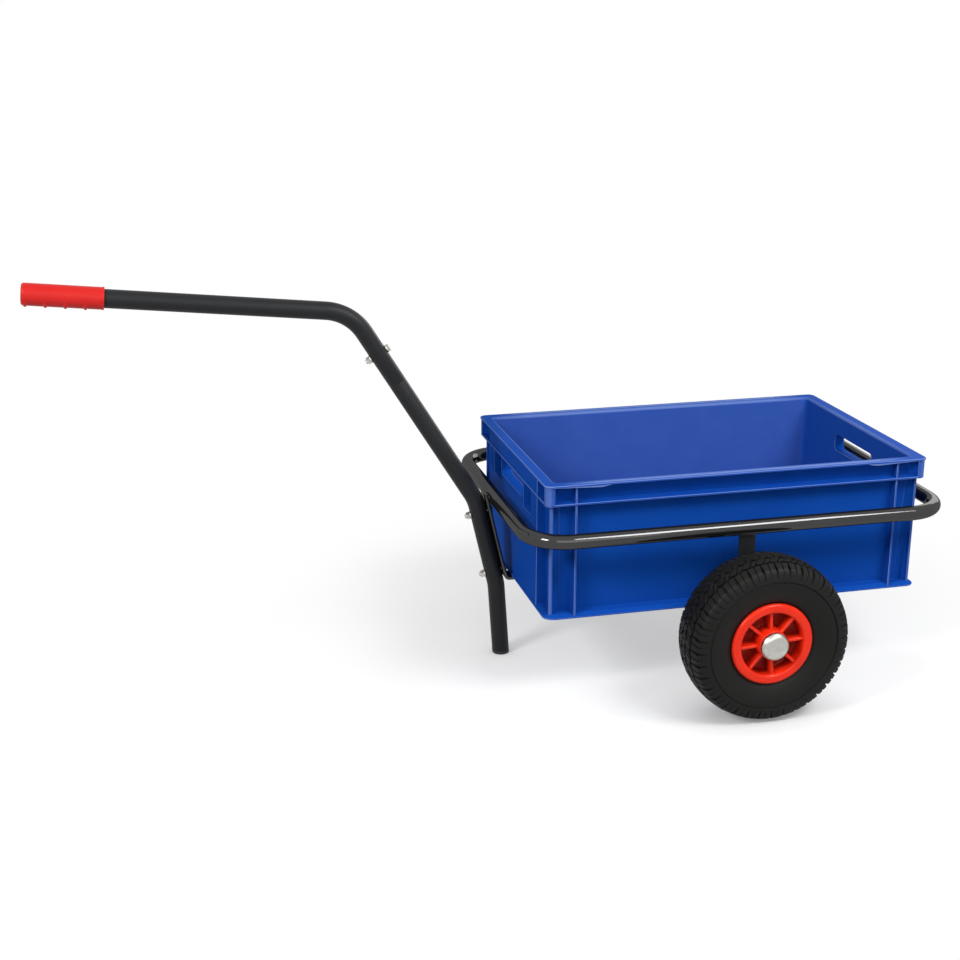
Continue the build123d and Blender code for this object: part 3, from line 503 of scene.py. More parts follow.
def shell_sheet(section):
    """The section carried round the crate, side after side, and the first column of each side.

    On a straight side a point is (half depth - inset) along the side's normal plus a station along the
    side. On the corner after it, both distances lose the corner radius and gain radius * (cos, sin).
    """
    inset, height, radius = section.T[:, :, None]
    turn = np.linspace(0, np.pi / 2, 10)[None]
    hole = np.array([[-1, 1]]) * (HOLE_HALF + EASE)
    slots = np.array([[-1, -1, 1, 1]]) * SLOT_X + np.array([[-1, 1, -1, 1]]) * SLOT_L / 2
    end, side = (CRATE_L / 2, CRATE_W / 2, hole), (CRATE_W / 2, CRATE_L / 2, slots)
    faces = [
        ((1, 0), (0, 1), end), ((0, 1), (-1, 0), side), ((-1, 0), (0, -1), end), ((0, -1), (1, 0), side),
    ]
    parts = []
    for normal, tangent, (depth, half, stations) in faces:
        out = np.concatenate([depth - inset + 0 * stations, depth - inset - radius * (1 - np.cos(turn))], 1)
        way = np.concatenate([stations + 0 * inset, half - inset - radius * (1 - np.sin(turn))], 1)
        parts.append(out[..., None] * np.array(normal) + way[..., None] * np.array(tangent))
    plan = np.concatenate(parts + [parts[0][:, :1]], 1)
    level = np.broadcast_to(height[..., None] + CRATE_Z, plan.shape[:2] + (1,))
    firsts = np.cumsum([0] + [p.shape[1] for p in parts])[:4]
    return np.concatenate([plan, level], -1), firsts


def row_at(inset, height):
    """Row of the section that lies at an inset and a height."""
    return int(np.argmin(np.hypot(section[:, 0] - inset, section[:, 1] - height)))


shell, firsts = shell_sheet(section)
keep = np.ones((shell.shape[0] - 1, shell.shape[1] - 1), bool)
for first in firsts[[0, 2]]:
    for face, start, end in ((outer, WINDOW_LOW, WINDOW_HIGH), (inner_face, WINDOW_HIGH, WINDOW_LOW)):
        keep[row_at(face(start), start):row_at(face(end), end), first] = False
for first in firsts[[1, 3]]:
    for gap in (first, first + 2):
        keep[row_at(SLOT_IN, RIM_LOW):row_at(SLOT_OUT, RIM_LOW), gap] = False
        keep[row_at(SLOT_OUT, CRATE_H):row_at(SLOT_IN, CRATE_H), gap] = False
print("shell", shell.shape, "open cells", int((~keep).sum()))

# %% [markdown]
# The shell leaves a square window for each hand hole and for four small slots in the rim that take
# the hooks of a lid. Each end wall is double, with a flat outer panel as far out as the ribs, so a hand
# hole is a short tunnel with eased edges, and a pocket in the panel lies on both sides of it. Holes
# could be cut with a boolean, which leaves ragged long triangles. Here each hole is its own outline,
# repeated a little smaller and deeper, and flat corners fill the square window round it.

# %% Outlines on the end walls
HOLE = (-HOLE_HALF, HOLE_HALF, HOLE_LOW, HOLE_HIGH)
POCKET_NEAR, POCKET_FAR, POCKET_LOW, POCKET_HIGH = 67.0, 109.0, HOLE_LOW - 12, FLANGE_LOW + 1.4
POCKET_ROUND, POCKET_BACK, POCKET_TAPER = 1.5, 16.5, 1.0
POCKETS = [
    (-POCKET_FAR, -POCKET_NEAR, POCKET_LOW, POCKET_HIGH), (POCKET_NEAR, POCKET_FAR, POCKET_LOW, POCKET_HIGH),
]


def on_end(way, height, inset, end):
    """Places at one end of the crate: a way across it, a height and an inset."""
    return np.stack([end * (CRATE_L / 2 - inset), way, CRATE_Z + height], -1)


def panel_face(height):
    """Inset of the flat outer panel of the end walls: the same at every height."""
    return RIB_IN + 0 * height


def ring_on(box, corner, grow, inset_at, end):
    """Outline of an opening in one end wall, made larger all round by grow, at the inset of each height.

    Each corner is a quarter circle: its centre lies the corner radius inside both edges.
    """
    left, right, low, high = box
    turn = np.linspace(0, np.pi / 2, 9) + np.arange(4)[:, None] * np.pi / 2
    way = np.array([right - corner, left + corner, left + corner, right - corner])[:, None]
    height = np.array([high - corner, high - corner, low + corner, low + corner])[:, None]
    way, height = way + (corner + grow) * np.cos(turn), height + (corner + grow) * np.sin(turn)
    return on_end(way, height, inset_at(height), end)


def window_corners(box, corner, inset_at, end):
    """Sheets that fill the corners between an opening's rounded outline and its square window."""
    left, right, low, high = box
    way = np.array([right + EASE, left - EASE, left - EASE, right + EASE])
    height = np.array([high + EASE, high + EASE, low - EASE, low - EASE])
    tips = on_end(way, height, inset_at(height), end)
    arcs = ring_on(box, corner, EASE, inset_at, end)
    return [np.stack([np.broadcast_to(tip, arc.shape), arc]) for tip, arc in zip(tips, arcs)]


print("hand hole", np.round(HOLE, 1), "pockets", np.round(POCKETS, 1).tolist())

# %% Hand holes and pockets


def closed(rings):
    """Sheet over a row of outlines, each joined up with its own first point."""
    rings = np.stack([ring.reshape(-1, 3) for ring in rings])
    return np.concatenate([rings, rings[:, :1]], 1)


def facing(sheet, way):
    """The sheet, with its columns turned round if its cells as a whole face away from a direction.

    The cross product of a cell's two diagonals points along its normal, and all of them are added up.
    """
    diagonals = sheet[1:, 1:] - sheet[:-1, :-1], sheet[:-1, 1:] - sheet[1:, :-1]
    return sheet if np.cross(*diagonals).sum((0, 1)) @ np.array(way) > 0 else sheet[:, ::-1]


crate_sheets, open_sheets = [(shell, keep)], []
bend = np.linspace(0, np.pi / 2, 5)
easing = list(zip(EASE * (1 - np.sin(bend)), EASE * (1 - np.cos(bend))))
for end in (-1, 1):
    front = [ring_on(HOLE, HOLE_ROUND, g, lambda h: panel_face(h) + d, end) for g, d in easing]
    back = [ring_on(HOLE, HOLE_ROUND, g, lambda h: inner_face(h) - d, end) for g, d in easing]
    crate_sheets.append(closed(front + back[::-1]))
    for face in (panel_face, inner_face):
        crate_sheets += window_corners(HOLE, HOLE_ROUND, face, end)
    for box in POCKETS:
        front = [ring_on(box, POCKET_ROUND, g, lambda h: panel_face(h) + d, end) for g, d in easing]
        back = ring_on(box, POCKET_ROUND, -POCKET_TAPER, lambda h: POCKET_BACK + 0 * h, end)
        pocket = closed(front + [back, np.broadcast_to(back.mean((0, 1)), back.shape)])
        for sheet in (pocket, *window_corners(box, POCKET_ROUND, panel_face, end)):
            open_sheets.append(facing(sheet, (end, 0, 0)))
print("sheets so far", len(crate_sheets), "open ones", len(open_sheets))

# %% Lid slots
walk = np.array([(-1, -1), (1, -1), (1, 1), (-1, 1), (-1, -1)]) * (SLOT_L / 2, (SLOT_IN - SLOT_OUT) / 2)
for sx, sy in [(-1, -1), (-1, 1), (1, -1), (1, 1)]:
    plan = walk + (sx * SLOT_X, sy * (CRATE_W / 2 - (SLOT_IN + SLOT_OUT) / 2))
    crate_sheets.append(np.stack([np.c_[plan, np.full(5, CRATE_Z + h)] for h in (RIM_LOW, CRATE_H)]))
print("sheets so far", len(crate_sheets))

# %% [markdown]
# Posts stiffen the corners, both above and below the flange. Slim ribs stand beside them on the long
# sides, and the flat panels on the ends. Coves lead from the wall into them, as a mould needs, so the
# bays between look like niches. The rim's edge is deeper near the ends of the long sides. Each of these
# is an outline in plan carried straight up, because that is how a mould draws: it is worked out at the
# lower and the upper height, where the leaning wall has its own inset. One corner is made and mirrored.

# %% Posts and ribs in plan
POST_FACE, RIB_AT, RIB_HALF, PANEL_HALF, SUNK = 14.5, 47.5, 1.5, 142.0, 0.3


def post_plan(inset, turn, wall):
    """Outline of a corner post as distances from the crate's end and side, where the wall has an inset."""
    cove, far, sunk = wall - inset - 1.0, POST_FACE + wall - inset + 2, wall + SUNK
    keys = [(far, sunk), (POST_FACE, sunk), (POST_FACE, inset), (inset, inset)]
    keys += [(v, u) for u, v in keys[-2::-1]]
    return rounded_outline(keys, [0, cove, 0.7, turn, 0.7, cove, 0], 9)


def rib_plan(at, inset, cove, wall):
    """Outline of a rib at a distance along the wall, with a cove on its side towards the corner."""
    near, far, sunk = at - RIB_HALF, at + RIB_HALF, wall + SUNK
    keys = [(near - cove - 1, sunk), (near, sunk), (near, inset)]
    keys += [(far, inset), (far, sunk), (far + 3, sunk)]
    return rounded_outline(keys, [0, cove, 1.1, 1.1, 0.8, 0], 7, guard=0.15)


def upright(plan_at, low, high):
    """Sheet between two heights over an outline in plan that is worked out at both.

    Distances from the crate's end and side are taken from its half length and half width.
    """
    plans = [((CRATE_L / 2, CRATE_W / 2) - plan_at(outer(h)), h) for h in (low, high)]
    return np.stack([np.c_[plan, np.full(len(plan), CRATE_Z + h)] for plan, h in plans])


# below and above the flange: inset and corner radius of the post, cove of the rib, heights of both
levels = [
    (POST_IN, 4.2, 2.0, FOOT_EDGE, FLANGE_LOW + 1), (FLANGE_IN, 8.5, 4.0, FLANGE_HIGH - 1, RIM_LOW + 1),
]
corner_sheets = []
for post_in, turn, cove, low, high in levels:
    corner_sheets.append((upright(lambda wall: post_plan(post_in, turn, wall), low, high), (1, 1, 0)))
    corner_sheets.append((upright(lambda wall: rib_plan(RIB_AT, RIB_IN, cove, wall), low, high), (0, 1, 0)))
print("uprights of one corner", [sheet.shape for sheet, _ in corner_sheets])

# %% Lips under the rim
LIP_START, LIP_FULL, LIP_END, LIP_DEPTH = 202, 216, 290, 3.0


def lip_sheet():
    """Deeper edge of the rim: a thin strip whose depth grows from the corner and ends in a short step."""
    x = np.concatenate([np.linspace(LIP_START, LIP_FULL + 2, 12), np.linspace(LIP_FULL + 6, LIP_END, 8)])
    step = np.clip((x - LIP_START) / (LIP_FULL - LIP_START), 0, 1) ** 0.7
    depth = LIP_DEPTH * step * np.clip((LIP_END - x) / (LIP_END - LIP_FULL), 0, 1)
    strip = np.array([(0.03, 0.9), (0.03, -0.2), (0.3, -0.9), (1.2, -1.0), (2.2, -0.8), (2.5, 0.9)])
    drop = RIM_LOW + np.where(strip[:, 1] > 0, strip[:, 1], strip[:, 1] * depth[:, None])
    side = np.broadcast_to(CRATE_W / 2 - strip[:, 0], drop.shape)
    return np.stack([np.broadcast_to(x[:, None], drop.shape), side, CRATE_Z + drop], -1)


corner_sheets.insert(0, (lip_sheet(), (0, 0, -1)))
for flip in [(-1, -1, 1), (-1, 1, 1), (1, -1, 1), (1, 1, 1)]:
    open_sheets += [facing(sheet * flip, np.multiply(way, flip)) for sheet, way in corner_sheets]
print("open sheets with all corners", len(open_sheets))

# %% End panels


def panel_plan(wall):
    """Outline of an end panel as ways across and insets, with a station at each edge of an opening."""
    edges = np.array([PANEL_HALF, POCKET_FAR + EASE, POCKET_NEAR - EASE, HOLE_HALF + EASE])
    far, sunk = PANEL_HALF + 4, wall + SUNK
    keys = [(-far, sunk), (-PANEL_HALF, sunk)] + [(way, RIB_IN) for way in (*-edges, *edges[::-1])]
    keys += [(PANEL_HALF, sunk), (far, sunk)]
    return rounded_outline(keys, [0, 2, 1, 0, 0, 0, 0, 0, 0, 1, 2, 0], 7, guard=0.3)


def panel_sheet(heights, boxes):
    """Panel of one end carried up through some heights, and the table of its cells outside the openings."""
    plans = [panel_plan(outer(h)) for h in heights]
    rows = [on_end(way, 0 * way + h, inset, 1) for (way, inset), h in zip([p.T for p in plans], heights)]
    way = (plans[0][1:, 0] + plans[0][:-1, 0]) / 2
    level = (np.array(heights)[1:, None] + np.array(heights)[:-1, None]) / 2
    keep = np.ones((len(level), len(way)), bool)
    for left, right, low, high in boxes:
        keep &= (way < left) | (way > right) | (level < low) | (level > high)
    return np.stack(rows), keep


low_rows = [FOOT_EDGE, POCKET_LOW - EASE, WINDOW_LOW, WINDOW_HIGH, FLANGE_LOW + 2]
panels = [panel_sheet(low_rows, [HOLE] + POCKETS), panel_sheet([FLANGE_HIGH - 1, RIM_LOW + 1], [])]
for sheet, kept in panels:
    open_sheets += [(facing(sheet * (end, 1, 1), (end, 0, 0)), kept) for end in (-1, 1)]
print("closed sheets so far", len(crate_sheets), "open ones", len(open_sheets))

# %% Floor and underside
stations = (CRATE_L / 2 - MIDDLE, SLOT_X + SLOT_L / 2, SLOT_X - SLOT_L / 2)
long = np.sort([sign * x for sign in (-1, 1) for x in stations])
wide = np.array([MIDDLE - CRATE_W / 2, -HOLE_HALF - EASE, HOLE_HALF + EASE, CRATE_W / 2 - MIDDLE])
for height in (0, FLOOR_T):
    crate_sheets.append(np.stack(np.meshgrid(long, wide, [CRATE_Z + height], indexing="ij"), -1)[:, :, 0])
make_piece("crate_moulding", crate_sheets, crate_plastic, "crate_box", ["crate"], 40, open_sheets)

# %% [markdown]
# ## Hoop
# The hoop is one length of round tube bent round a rectangle and welded into a ring. A curve with a
# bevel could draw it. A circle carried along a closed path with four quarter turns gives the same
# without a seam, and the same helper then also takes the sections of other pieces.

# %% Hoop tube
HOOP_D, HOOP_BEND = 22.0, 60.0


def circle(radius, count=48):
    """Closed ring of points: radius times (cos, sin) of an even angle."""
    turn = np.linspace(0, 2 * np.pi, count + 1)
    return radius * np.stack([np.cos(turn), np.sin(turn)], -1)


def carry(profile, centres, along, side):
    """Sheet of a flat profile carried along a path.

    Each point is centre + first coordinate times the side vector + second coordinate times the
    vector that is square to both the side and the path.
    """
    side = np.broadcast_to(unit(side), along.shape)
    up = np.cross(along, side)
    return centres[:, None] + profile[None, :, :1] * side[:, None] + profile[None, :, 1:] * up[:, None]


hoop_low, hoop_high = [np.array(c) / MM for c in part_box("hoop_tube")]
HOOP_X, HOOP_Y = (hoop_high[:2] - hoop_low[:2] - HOOP_D) / 2
HOOP_Z = (hoop_high[2] + hoop_low[2]) / 2
corners = [(-HOOP_X, -HOOP_Y), (HOOP_X, -HOOP_Y), (HOOP_X, HOOP_Y), (-HOOP_X, HOOP_Y)]
centres, along = rounded_path([(x, y, HOOP_Z) for x, y in corners], HOOP_BEND, 20, closed=True)
hoop = carry(circle(HOOP_D / 2, 56), centres, along, (0, 0, 1))
make_piece("hoop_tube_skin", [hoop], frame_paint, "cart", ["hoop_tube"])

# %% [markdown]
# ## Drawbar
# Two bent tubes meet in a plain joint over an inner spigot. Their runs are given by slopes below the
# horizontal, starting where the clamp holds the bar against the strap on the front of the hoop. A
# bevelled curve has no wall and no cut ends, so the skin here runs along the outside, over the broken
# edge of the cut and back along the bore, and the foot of the leg is cut level with the ground.

# %% Runs of the drawbar
BAR_D, BAR_WALL, BAR_BEND, STRAP_T = 26.9, 2.0, 75.0, 5.0
HANDLE_SLOPE, REACH_SLOPE, CLAMP_SLOPE, LEG_SLOPE = 5.9, 58.3, 76.9, 86.0
HANDLE_LEN, REACH_LEN, SPLICE_DROP, PLUG_T, GRIP_END_T = 461.0, 356.0, 127.5, 5.0, 5.0
REACH_BEND_RISE, LEG_BEND_PAST = 4.0, 10.9
ACROSS = (0, 1, 0)


def downhill(slope):
    """Unit vector towards the crate that drops at the slope: (cos, 0, -sin)."""
    return np.array([cos(radians(slope)), 0, -sin(radians(slope))])


def forward(slope):
    """Unit vector square to downhill, away from the crate: (-sin, 0, -cos)."""
    return np.array([-sin(radians(slope)), 0, -cos(radians(slope))])


clamp_down, clamp_out = downhill(CLAMP_SLOPE), forward(CLAMP_SLOPE)
strap_back = np.array([-HOOP_X, 0, HOOP_Z]) + clamp_out * HOOP_D / 2
clamp_top = strap_back + clamp_out * (STRAP_T + BAR_D / 2)
reach_bend = clamp_top - clamp_down * REACH_BEND_RISE
handle_bend = reach_bend - downhill(REACH_SLOPE) * REACH_LEN
handle_end = handle_bend - downhill(HANDLE_SLOPE) * HANDLE_LEN
strap_corner_drop = (strap_back[2] - CRATE_Z) / sin(radians(CLAMP_SLOPE))
leg_bend = clamp_top + clamp_down * (strap_corner_drop + LEG_BEND_PAST)
leg_tip = leg_bend + downhill(LEG_SLOPE) * leg_bend[2] / sin(radians(LEG_SLOPE))
splice = handle_bend + downhill(REACH_SLOPE) * SPLICE_DROP
print("foot at", leg_tip.round(1), "handle end at", handle_end.round(1))

# %% Drawbar tubes
EDGE_LEAN = 0.3  # how far a broken edge leans in, for its length along the tube


def carry_tube(outer_d, wall, centres, along, side, foot=None, edge=1.2):
    """Closed tube skin: along the outside, over a broken edge, back along the bore and round again.

    With a foot height, the points of the last end slide along the tube until they lie level.
    """
    outer, bore = circle(outer_d / 2), circle(outer_d / 2 - wall)
    eased = circle(outer_d / 2 - edge * EDGE_LEAN)
    skin = carry(outer, centres, along, side)
    first = carry(outer, centres[:1] + along[:1] * edge, along[:1], side)
    last = carry(outer, centres[-1:] - along[-1:] * edge, along[-1:], side)
    tip = carry(eased, centres[:1], along[:1], side)
    tail = carry(eased, centres[-1:], along[-1:], side)
    inside = carry(bore, centres, along, side)[::-1]
    if foot is not None:
        for ring, height in ((last, foot + edge), (tail, foot), (inside[:1], foot)):
            ring += along[-1] * (height - ring[..., 2:]) / along[-1, 2]
    return np.concatenate([tip, first, skin[1:-1], last, tail, inside, tip])


tube_start = handle_end + downhill(HANDLE_SLOPE) * GRIP_END_T
centres, along = rounded_path([tube_start, handle_bend, splice], BAR_BEND, 24)
upper = carry_tube(BAR_D, BAR_WALL, centres, along, ACROSS)
make_piece("drawbar_upper_skin", [upper], bar_paint, "cart", ["drawbar_upper_tube"])

leg_cut = leg_tip - downhill(LEG_SLOPE) * PLUG_T / sin(radians(LEG_SLOPE))
centres, along = rounded_path([splice, reach_bend, leg_bend, leg_cut], BAR_BEND, 12)
lower = carry_tube(BAR_D, BAR_WALL, centres, along, ACROSS, PLUG_T)
make_piece("drawbar_lower_skin", [lower], bar_paint, "cart", ["drawbar_lower_tube"])

# %% [markdown]
# ## Straps, hangers and welds
# Flat bar, sheared to length and bent over a small radius, joins the hoop to the axle. Rolled bar has
# softly rounded edges. A box with a bevel would give the straight hangers but not the bent straps, so
# all four are a rectangle with rounded corners carried along a path. Short weld beads with their ripples
# lie where the bars meet the tube, under the same coat: a round section whose size swells and falls.

# %% Flat bars
STRAP_W, STRAP_BEND, STRAP_TOP, HANGER_W, AXLE_D = 30.0, 6.5, 12.0, 25.0, 20.0
BAR_TOP = HOOP_Z - 8  # inside the wall of the hoop's tube


def carry_bar(width, thickness, centres, along, side, edge=0.8):
    """Closed flat bar with rounded long edges and slightly broken ends."""
    half = np.array([width, thickness]) / 2
    full = rounded_outline(np.array([(-1, -1), (1, -1), (1, 1), (-1, 1)]) * half, edge, 4, closed=True)
    small = full * (1 - edge / 2 / half)
    ends = []
    for at, way, step in ((centres[:1], along[:1], edge / 2), (centres[-1:], along[-1:], -edge / 2)):
        tip = carry(small, at, way, side)
        ends.append([np.broadcast_to(at, tip.shape), tip, carry(full, at + way * step, way, side)])
    return np.concatenate(ends[0] + [carry(full, centres, along, side)[1:-1]] + ends[1][::-1])


under_z = CRATE_Z - STRAP_T / 2
front_top = strap_back + clamp_out * STRAP_T / 2
front_corner = front_top + clamp_down * (front_top[2] - under_z) / sin(radians(CLAMP_SLOPE))
front_run = [front_top - clamp_down * STRAP_TOP, front_corner, (-AXLE_D / 2, 0, under_z)]
rear_run = [(HOOP_X, 0, BAR_TOP), (HOOP_X, 0, under_z), (AXLE_D / 2, 0, under_z)]
for name, run in (("front_strap", front_run), ("rear_strap", rear_run)):
    bar = carry_bar(STRAP_W, STRAP_T, *rounded_path(run, STRAP_BEND, 8), ACROSS)
    make_piece(f"{name}_bar", [bar], frame_paint, "cart", [name])
for name, side in (("left", -1), ("right", 1)):
    ends = np.array([(0, side * HOOP_Y, CRATE_Z), (0, side * HOOP_Y, BAR_TOP)])
    bar = carry_bar(HANGER_W, STRAP_T, ends, np.array([(0, 0, 1.0)] * 2), (1, 0, 0))
    make_piece(f"{name}_hanger_bar", [bar], bar_paint, "cart", [f"{name}_hanger"])

# %% Weld beads
BEAD_R, CLAMP_BEAD_R, CLAMP_BEAD_IN, CLAMP_BEAD_OFF = 2.0, 2.2, 1.2, 5.0
ASKEW = (0.31, 0.52, 0.8)  # a direction that no bead follows


def bead_sheet(start, end, radius, pitch=3.5, ripple=0.13):
    """Weld bead: a round section that swells by a cosine once every pitch and tapers at both ends."""
    start, end = np.asarray(start, float), np.asarray(end, float)
    length = np.linalg.norm(end - start)
    s = np.linspace(0, length, int(6 * length / pitch) + 1)
    taper = np.sqrt(np.clip(np.minimum(s, length - s) / radius, 0, 1))
    size = radius * taper * (1 + ripple * np.cos(2 * np.pi * s / pitch))
    way = unit(end - start)
    side = unit(np.cross(way, ASKEW))
    ring = circle(1.0, 14)
    around = ring[:, :1] * side + ring[:, 1:] * np.cross(way, side)
    return start + s[:, None, None] * way + size[:, None, None] * around


coped = HOOP_Z - np.sqrt((HOOP_D / 2) ** 2 - (STRAP_T / 2) ** 2)
under = CRATE_Z - STRAP_T
beads = []
for side in (-1, 1):
    for face in (-STRAP_T / 2, STRAP_T / 2):
        y = side * HOOP_Y + face
        beads.append(bead_sheet((-HANGER_W / 2, y, coped), (HANGER_W / 2, y, coped), BEAD_R))
        beads.append(bead_sheet((-AXLE_D / 2, y, CRATE_Z), (AXLE_D / 2, y, CRATE_Z), BEAD_R))
    x = HOOP_X + side * STRAP_T / 2
    beads.append(bead_sheet((x, -STRAP_W / 2, coped), (x, STRAP_W / 2, coped), BEAD_R))
    x = side * AXLE_D / 2
    beads.append(bead_sheet((x, -STRAP_W / 2, under), (x, STRAP_W / 2, under), BEAD_R))
    at = strap_back - clamp_out * CLAMP_BEAD_IN + side * clamp_down * CLAMP_BEAD_OFF
    beads.append(bead_sheet(at + (0, -STRAP_W / 2, 0), at + (0, STRAP_W / 2, 0), CLAMP_BEAD_R))
make_piece("weld_beads", beads, frame_paint, "cart")

# %% [markdown]
# ## Grip
# The grip is dipped vinyl: a sleeve with a rounded closed end, a small bead at its mouth, and four
# short ridges underneath for the fingers. The ridges could be separate lumps joined to a cylinder, but
# dipped vinyl has no joints, so one radius formula over angle and length gives all of it.

# %% Vinyl grip
GRIP_D, GRIP_LEN, GRIP_ROUND, MOUTH_LEN, MOUTH_H = 31.7, 112.0, 4.0, 2.5, 0.6
RIDGES, RIDGE_HALF, RIDGE_H = 6.0 + 27.0 * np.arange(4), 2.2, 1.8


def grip_sheet():
    """Sleeve of radius r(s, angle) about the handle.

    The end is a quarter round, the mouth has a raised half-round bead, and each ridge adds a smooth
    bump along s times a smooth window of angle about the underside.
    """
    half = GRIP_D / 2
    nose = np.linspace(0, np.pi / 2, 9)
    s = np.concatenate([
        [0], GRIP_ROUND * (1 - np.cos(nose)),
        np.linspace(GRIP_ROUND + 0.8, GRIP_LEN - 3, 150),
        GRIP_LEN - MOUTH_LEN + MOUTH_LEN * np.linspace(0, 1, 8),
    ])
    base = np.concatenate([
        [0], half - GRIP_ROUND + GRIP_ROUND * np.sin(nose), np.full(150, half),
        half + MOUTH_H * np.sqrt(np.clip(1 - np.linspace(-1, 1, 8) ** 2, 0, 1)),
    ])
    angle = np.linspace(0, 2 * np.pi, 73)[None, :]
    under = np.clip((np.cos(angle) - 0.45) / 0.25, 0, 1)
    under = under * under * (3 - 2 * under)
    bump = np.clip(1 - ((s[:, None, None] - RIDGES) / RIDGE_HALF) ** 2, 0, 1).max(-1) ** 0.5
    radius = base[:, None] + RIDGE_H * bump * under * (base[:, None] > half - 1.5)
    slide, out = downhill(HANDLE_SLOPE), forward(HANDLE_SLOPE)
    ring = np.cos(angle)[..., None] * out + np.sin(angle)[..., None] * np.array(ACROSS, float)
    sleeve = handle_end + s[:, None, None] * slide + radius[..., None] * ring
    mouth = handle_end + GRIP_LEN * slide + BAR_D / 2 * ring
    return np.concatenate([sleeve, mouth])


make_piece("grip_sleeve", [grip_sheet()], grip_vinyl, "cart", ["handle_grip"])

# %% [markdown]
# ## Tyres
# The tyre is the richest surface of the cart. Its section is two arcs, sidewall and crown, and the
# tread is a depth below that section. A displacement map on a ring would need very many faces before its
# edges look cut. Here the grid lines follow the edges of the blocks instead: zigzag grooves run round the
# crown, and open notches cut the shoulders and run out down the sidewall. So every block has crisp walls
# with few faces.

# %% Tyre section
TYRE_D, TYRE_W = 245.0, 85.0
BEAD, SIDE_AT, SHOULDER, CROWN_EDGE = (61.7, 29.8), 93.0, (113.0, 38.0), (116, 35)
BEAD_FOOT, CORE = (57.0, 29.0), (82, 0)  # the hidden end under the rim, and a point inside the tyre
CORNER = [(114.2, 37.2), (115.6, 35.8)]  # rounds the edge between sidewall and crown
# rows of the grid, close together beside the grooves and at the sidewall's step
SIDE_ROWS = np.array([
    61.7, 63, 65, 68, 72, 76, 80, 84, 88, 92, 94.5, 95.8, 96.4, 96.9, 97.3, 97.7, 98.2, 99,
    100.5, 102, 104, 106, 108, 109.5, 111, 112.4,
])
CROWN_ROWS = np.array([
    34.2, 32.5, 30, 27.5, 25.2, 22.6, 22.0, 19.4, 18.8, 17, 14, 11, 8.6, 8.0, 5.4, 4.8, 3, 0,
])


def arc_points(start, middle, end, t):
    """Points of the circle through three points, at fractions t of its sweep.

    The centre is where the perpendicular bisectors meet, and the angle runs evenly from start to end.
    """
    a, b, c = (np.asarray(p, float) for p in (start, middle, end))
    system = 2 * np.array([b - a, c - b])
    centre = np.linalg.solve(system, [b @ b - a @ a, c @ c - b @ b])
    first, last = (np.arctan2(*(p - centre)[::-1]) for p in (a, c))
    sweep = (last - first + np.pi) % (2 * np.pi) - np.pi
    angle = first + np.asarray(t)[:, None] * sweep
    return centre + np.hypot(*(a - centre)) * np.concatenate([np.cos(angle), np.sin(angle)], 1)


def tyre_section():
    """Section points (radius, offset) from bead to bead and their normals.

    One arc runs from the bead over the widest point to the shoulder and one over the crown. Both are
    read off at the grid's rows, and the half is mirrored.
    """
    fine = np.linspace(0, 1, 400)
    side = arc_points(BEAD, (SIDE_AT, TYRE_W / 2), SHOULDER, fine)
    side = np.stack([SIDE_ROWS, np.interp(SIDE_ROWS, side[:, 0], side[:, 1])], -1)
    crown = arc_points(CROWN_EDGE, (TYRE_D / 2, 0), np.multiply(CROWN_EDGE, (1, -1)), fine)
    crown = np.stack([np.interp(-CROWN_ROWS, -crown[:, 1], crown[:, 0]), CROWN_ROWS], -1)
    half = np.concatenate([[BEAD_FOOT], side, CORNER, crown])
    section = np.concatenate([half, half[-2::-1] * (1, -1)])
    step = np.gradient(section, axis=0)
    normal = unit(np.stack([step[:, 1], -step[:, 0]], -1))
    normal *= np.sign(np.sum(normal * (section - CORE), 1))[:, None]
    return section, normal


print("tyre section", len(tyre_section()[0]), "points")

# %% Tread
PITCHES, TREAD_DEPTH, CROSS_DEPTH, SWAY = 36, 3.2, 2.6, 2.2
CROWN_FROM, SIDE_FROM, STEP_AT = 112.5, 98, 97.0  # radii
NEAR_GROOVE, FAR_GROOVE = (5.1, 8.3), (19.1, 22.3)  # offsets from the middle plane
NOTCH, CUT = (0.02, 0.09), (0.52, 0.58)  # parts of a pitch
PHASES = np.array([0, .025, .085, .11, .2, .3, .4, .475, .5, .525, .575, .6, .7, .8, .9])


def between(value, span):
    """True where a value lies inside a span."""
    return (value > span[0]) & (value < span[1])


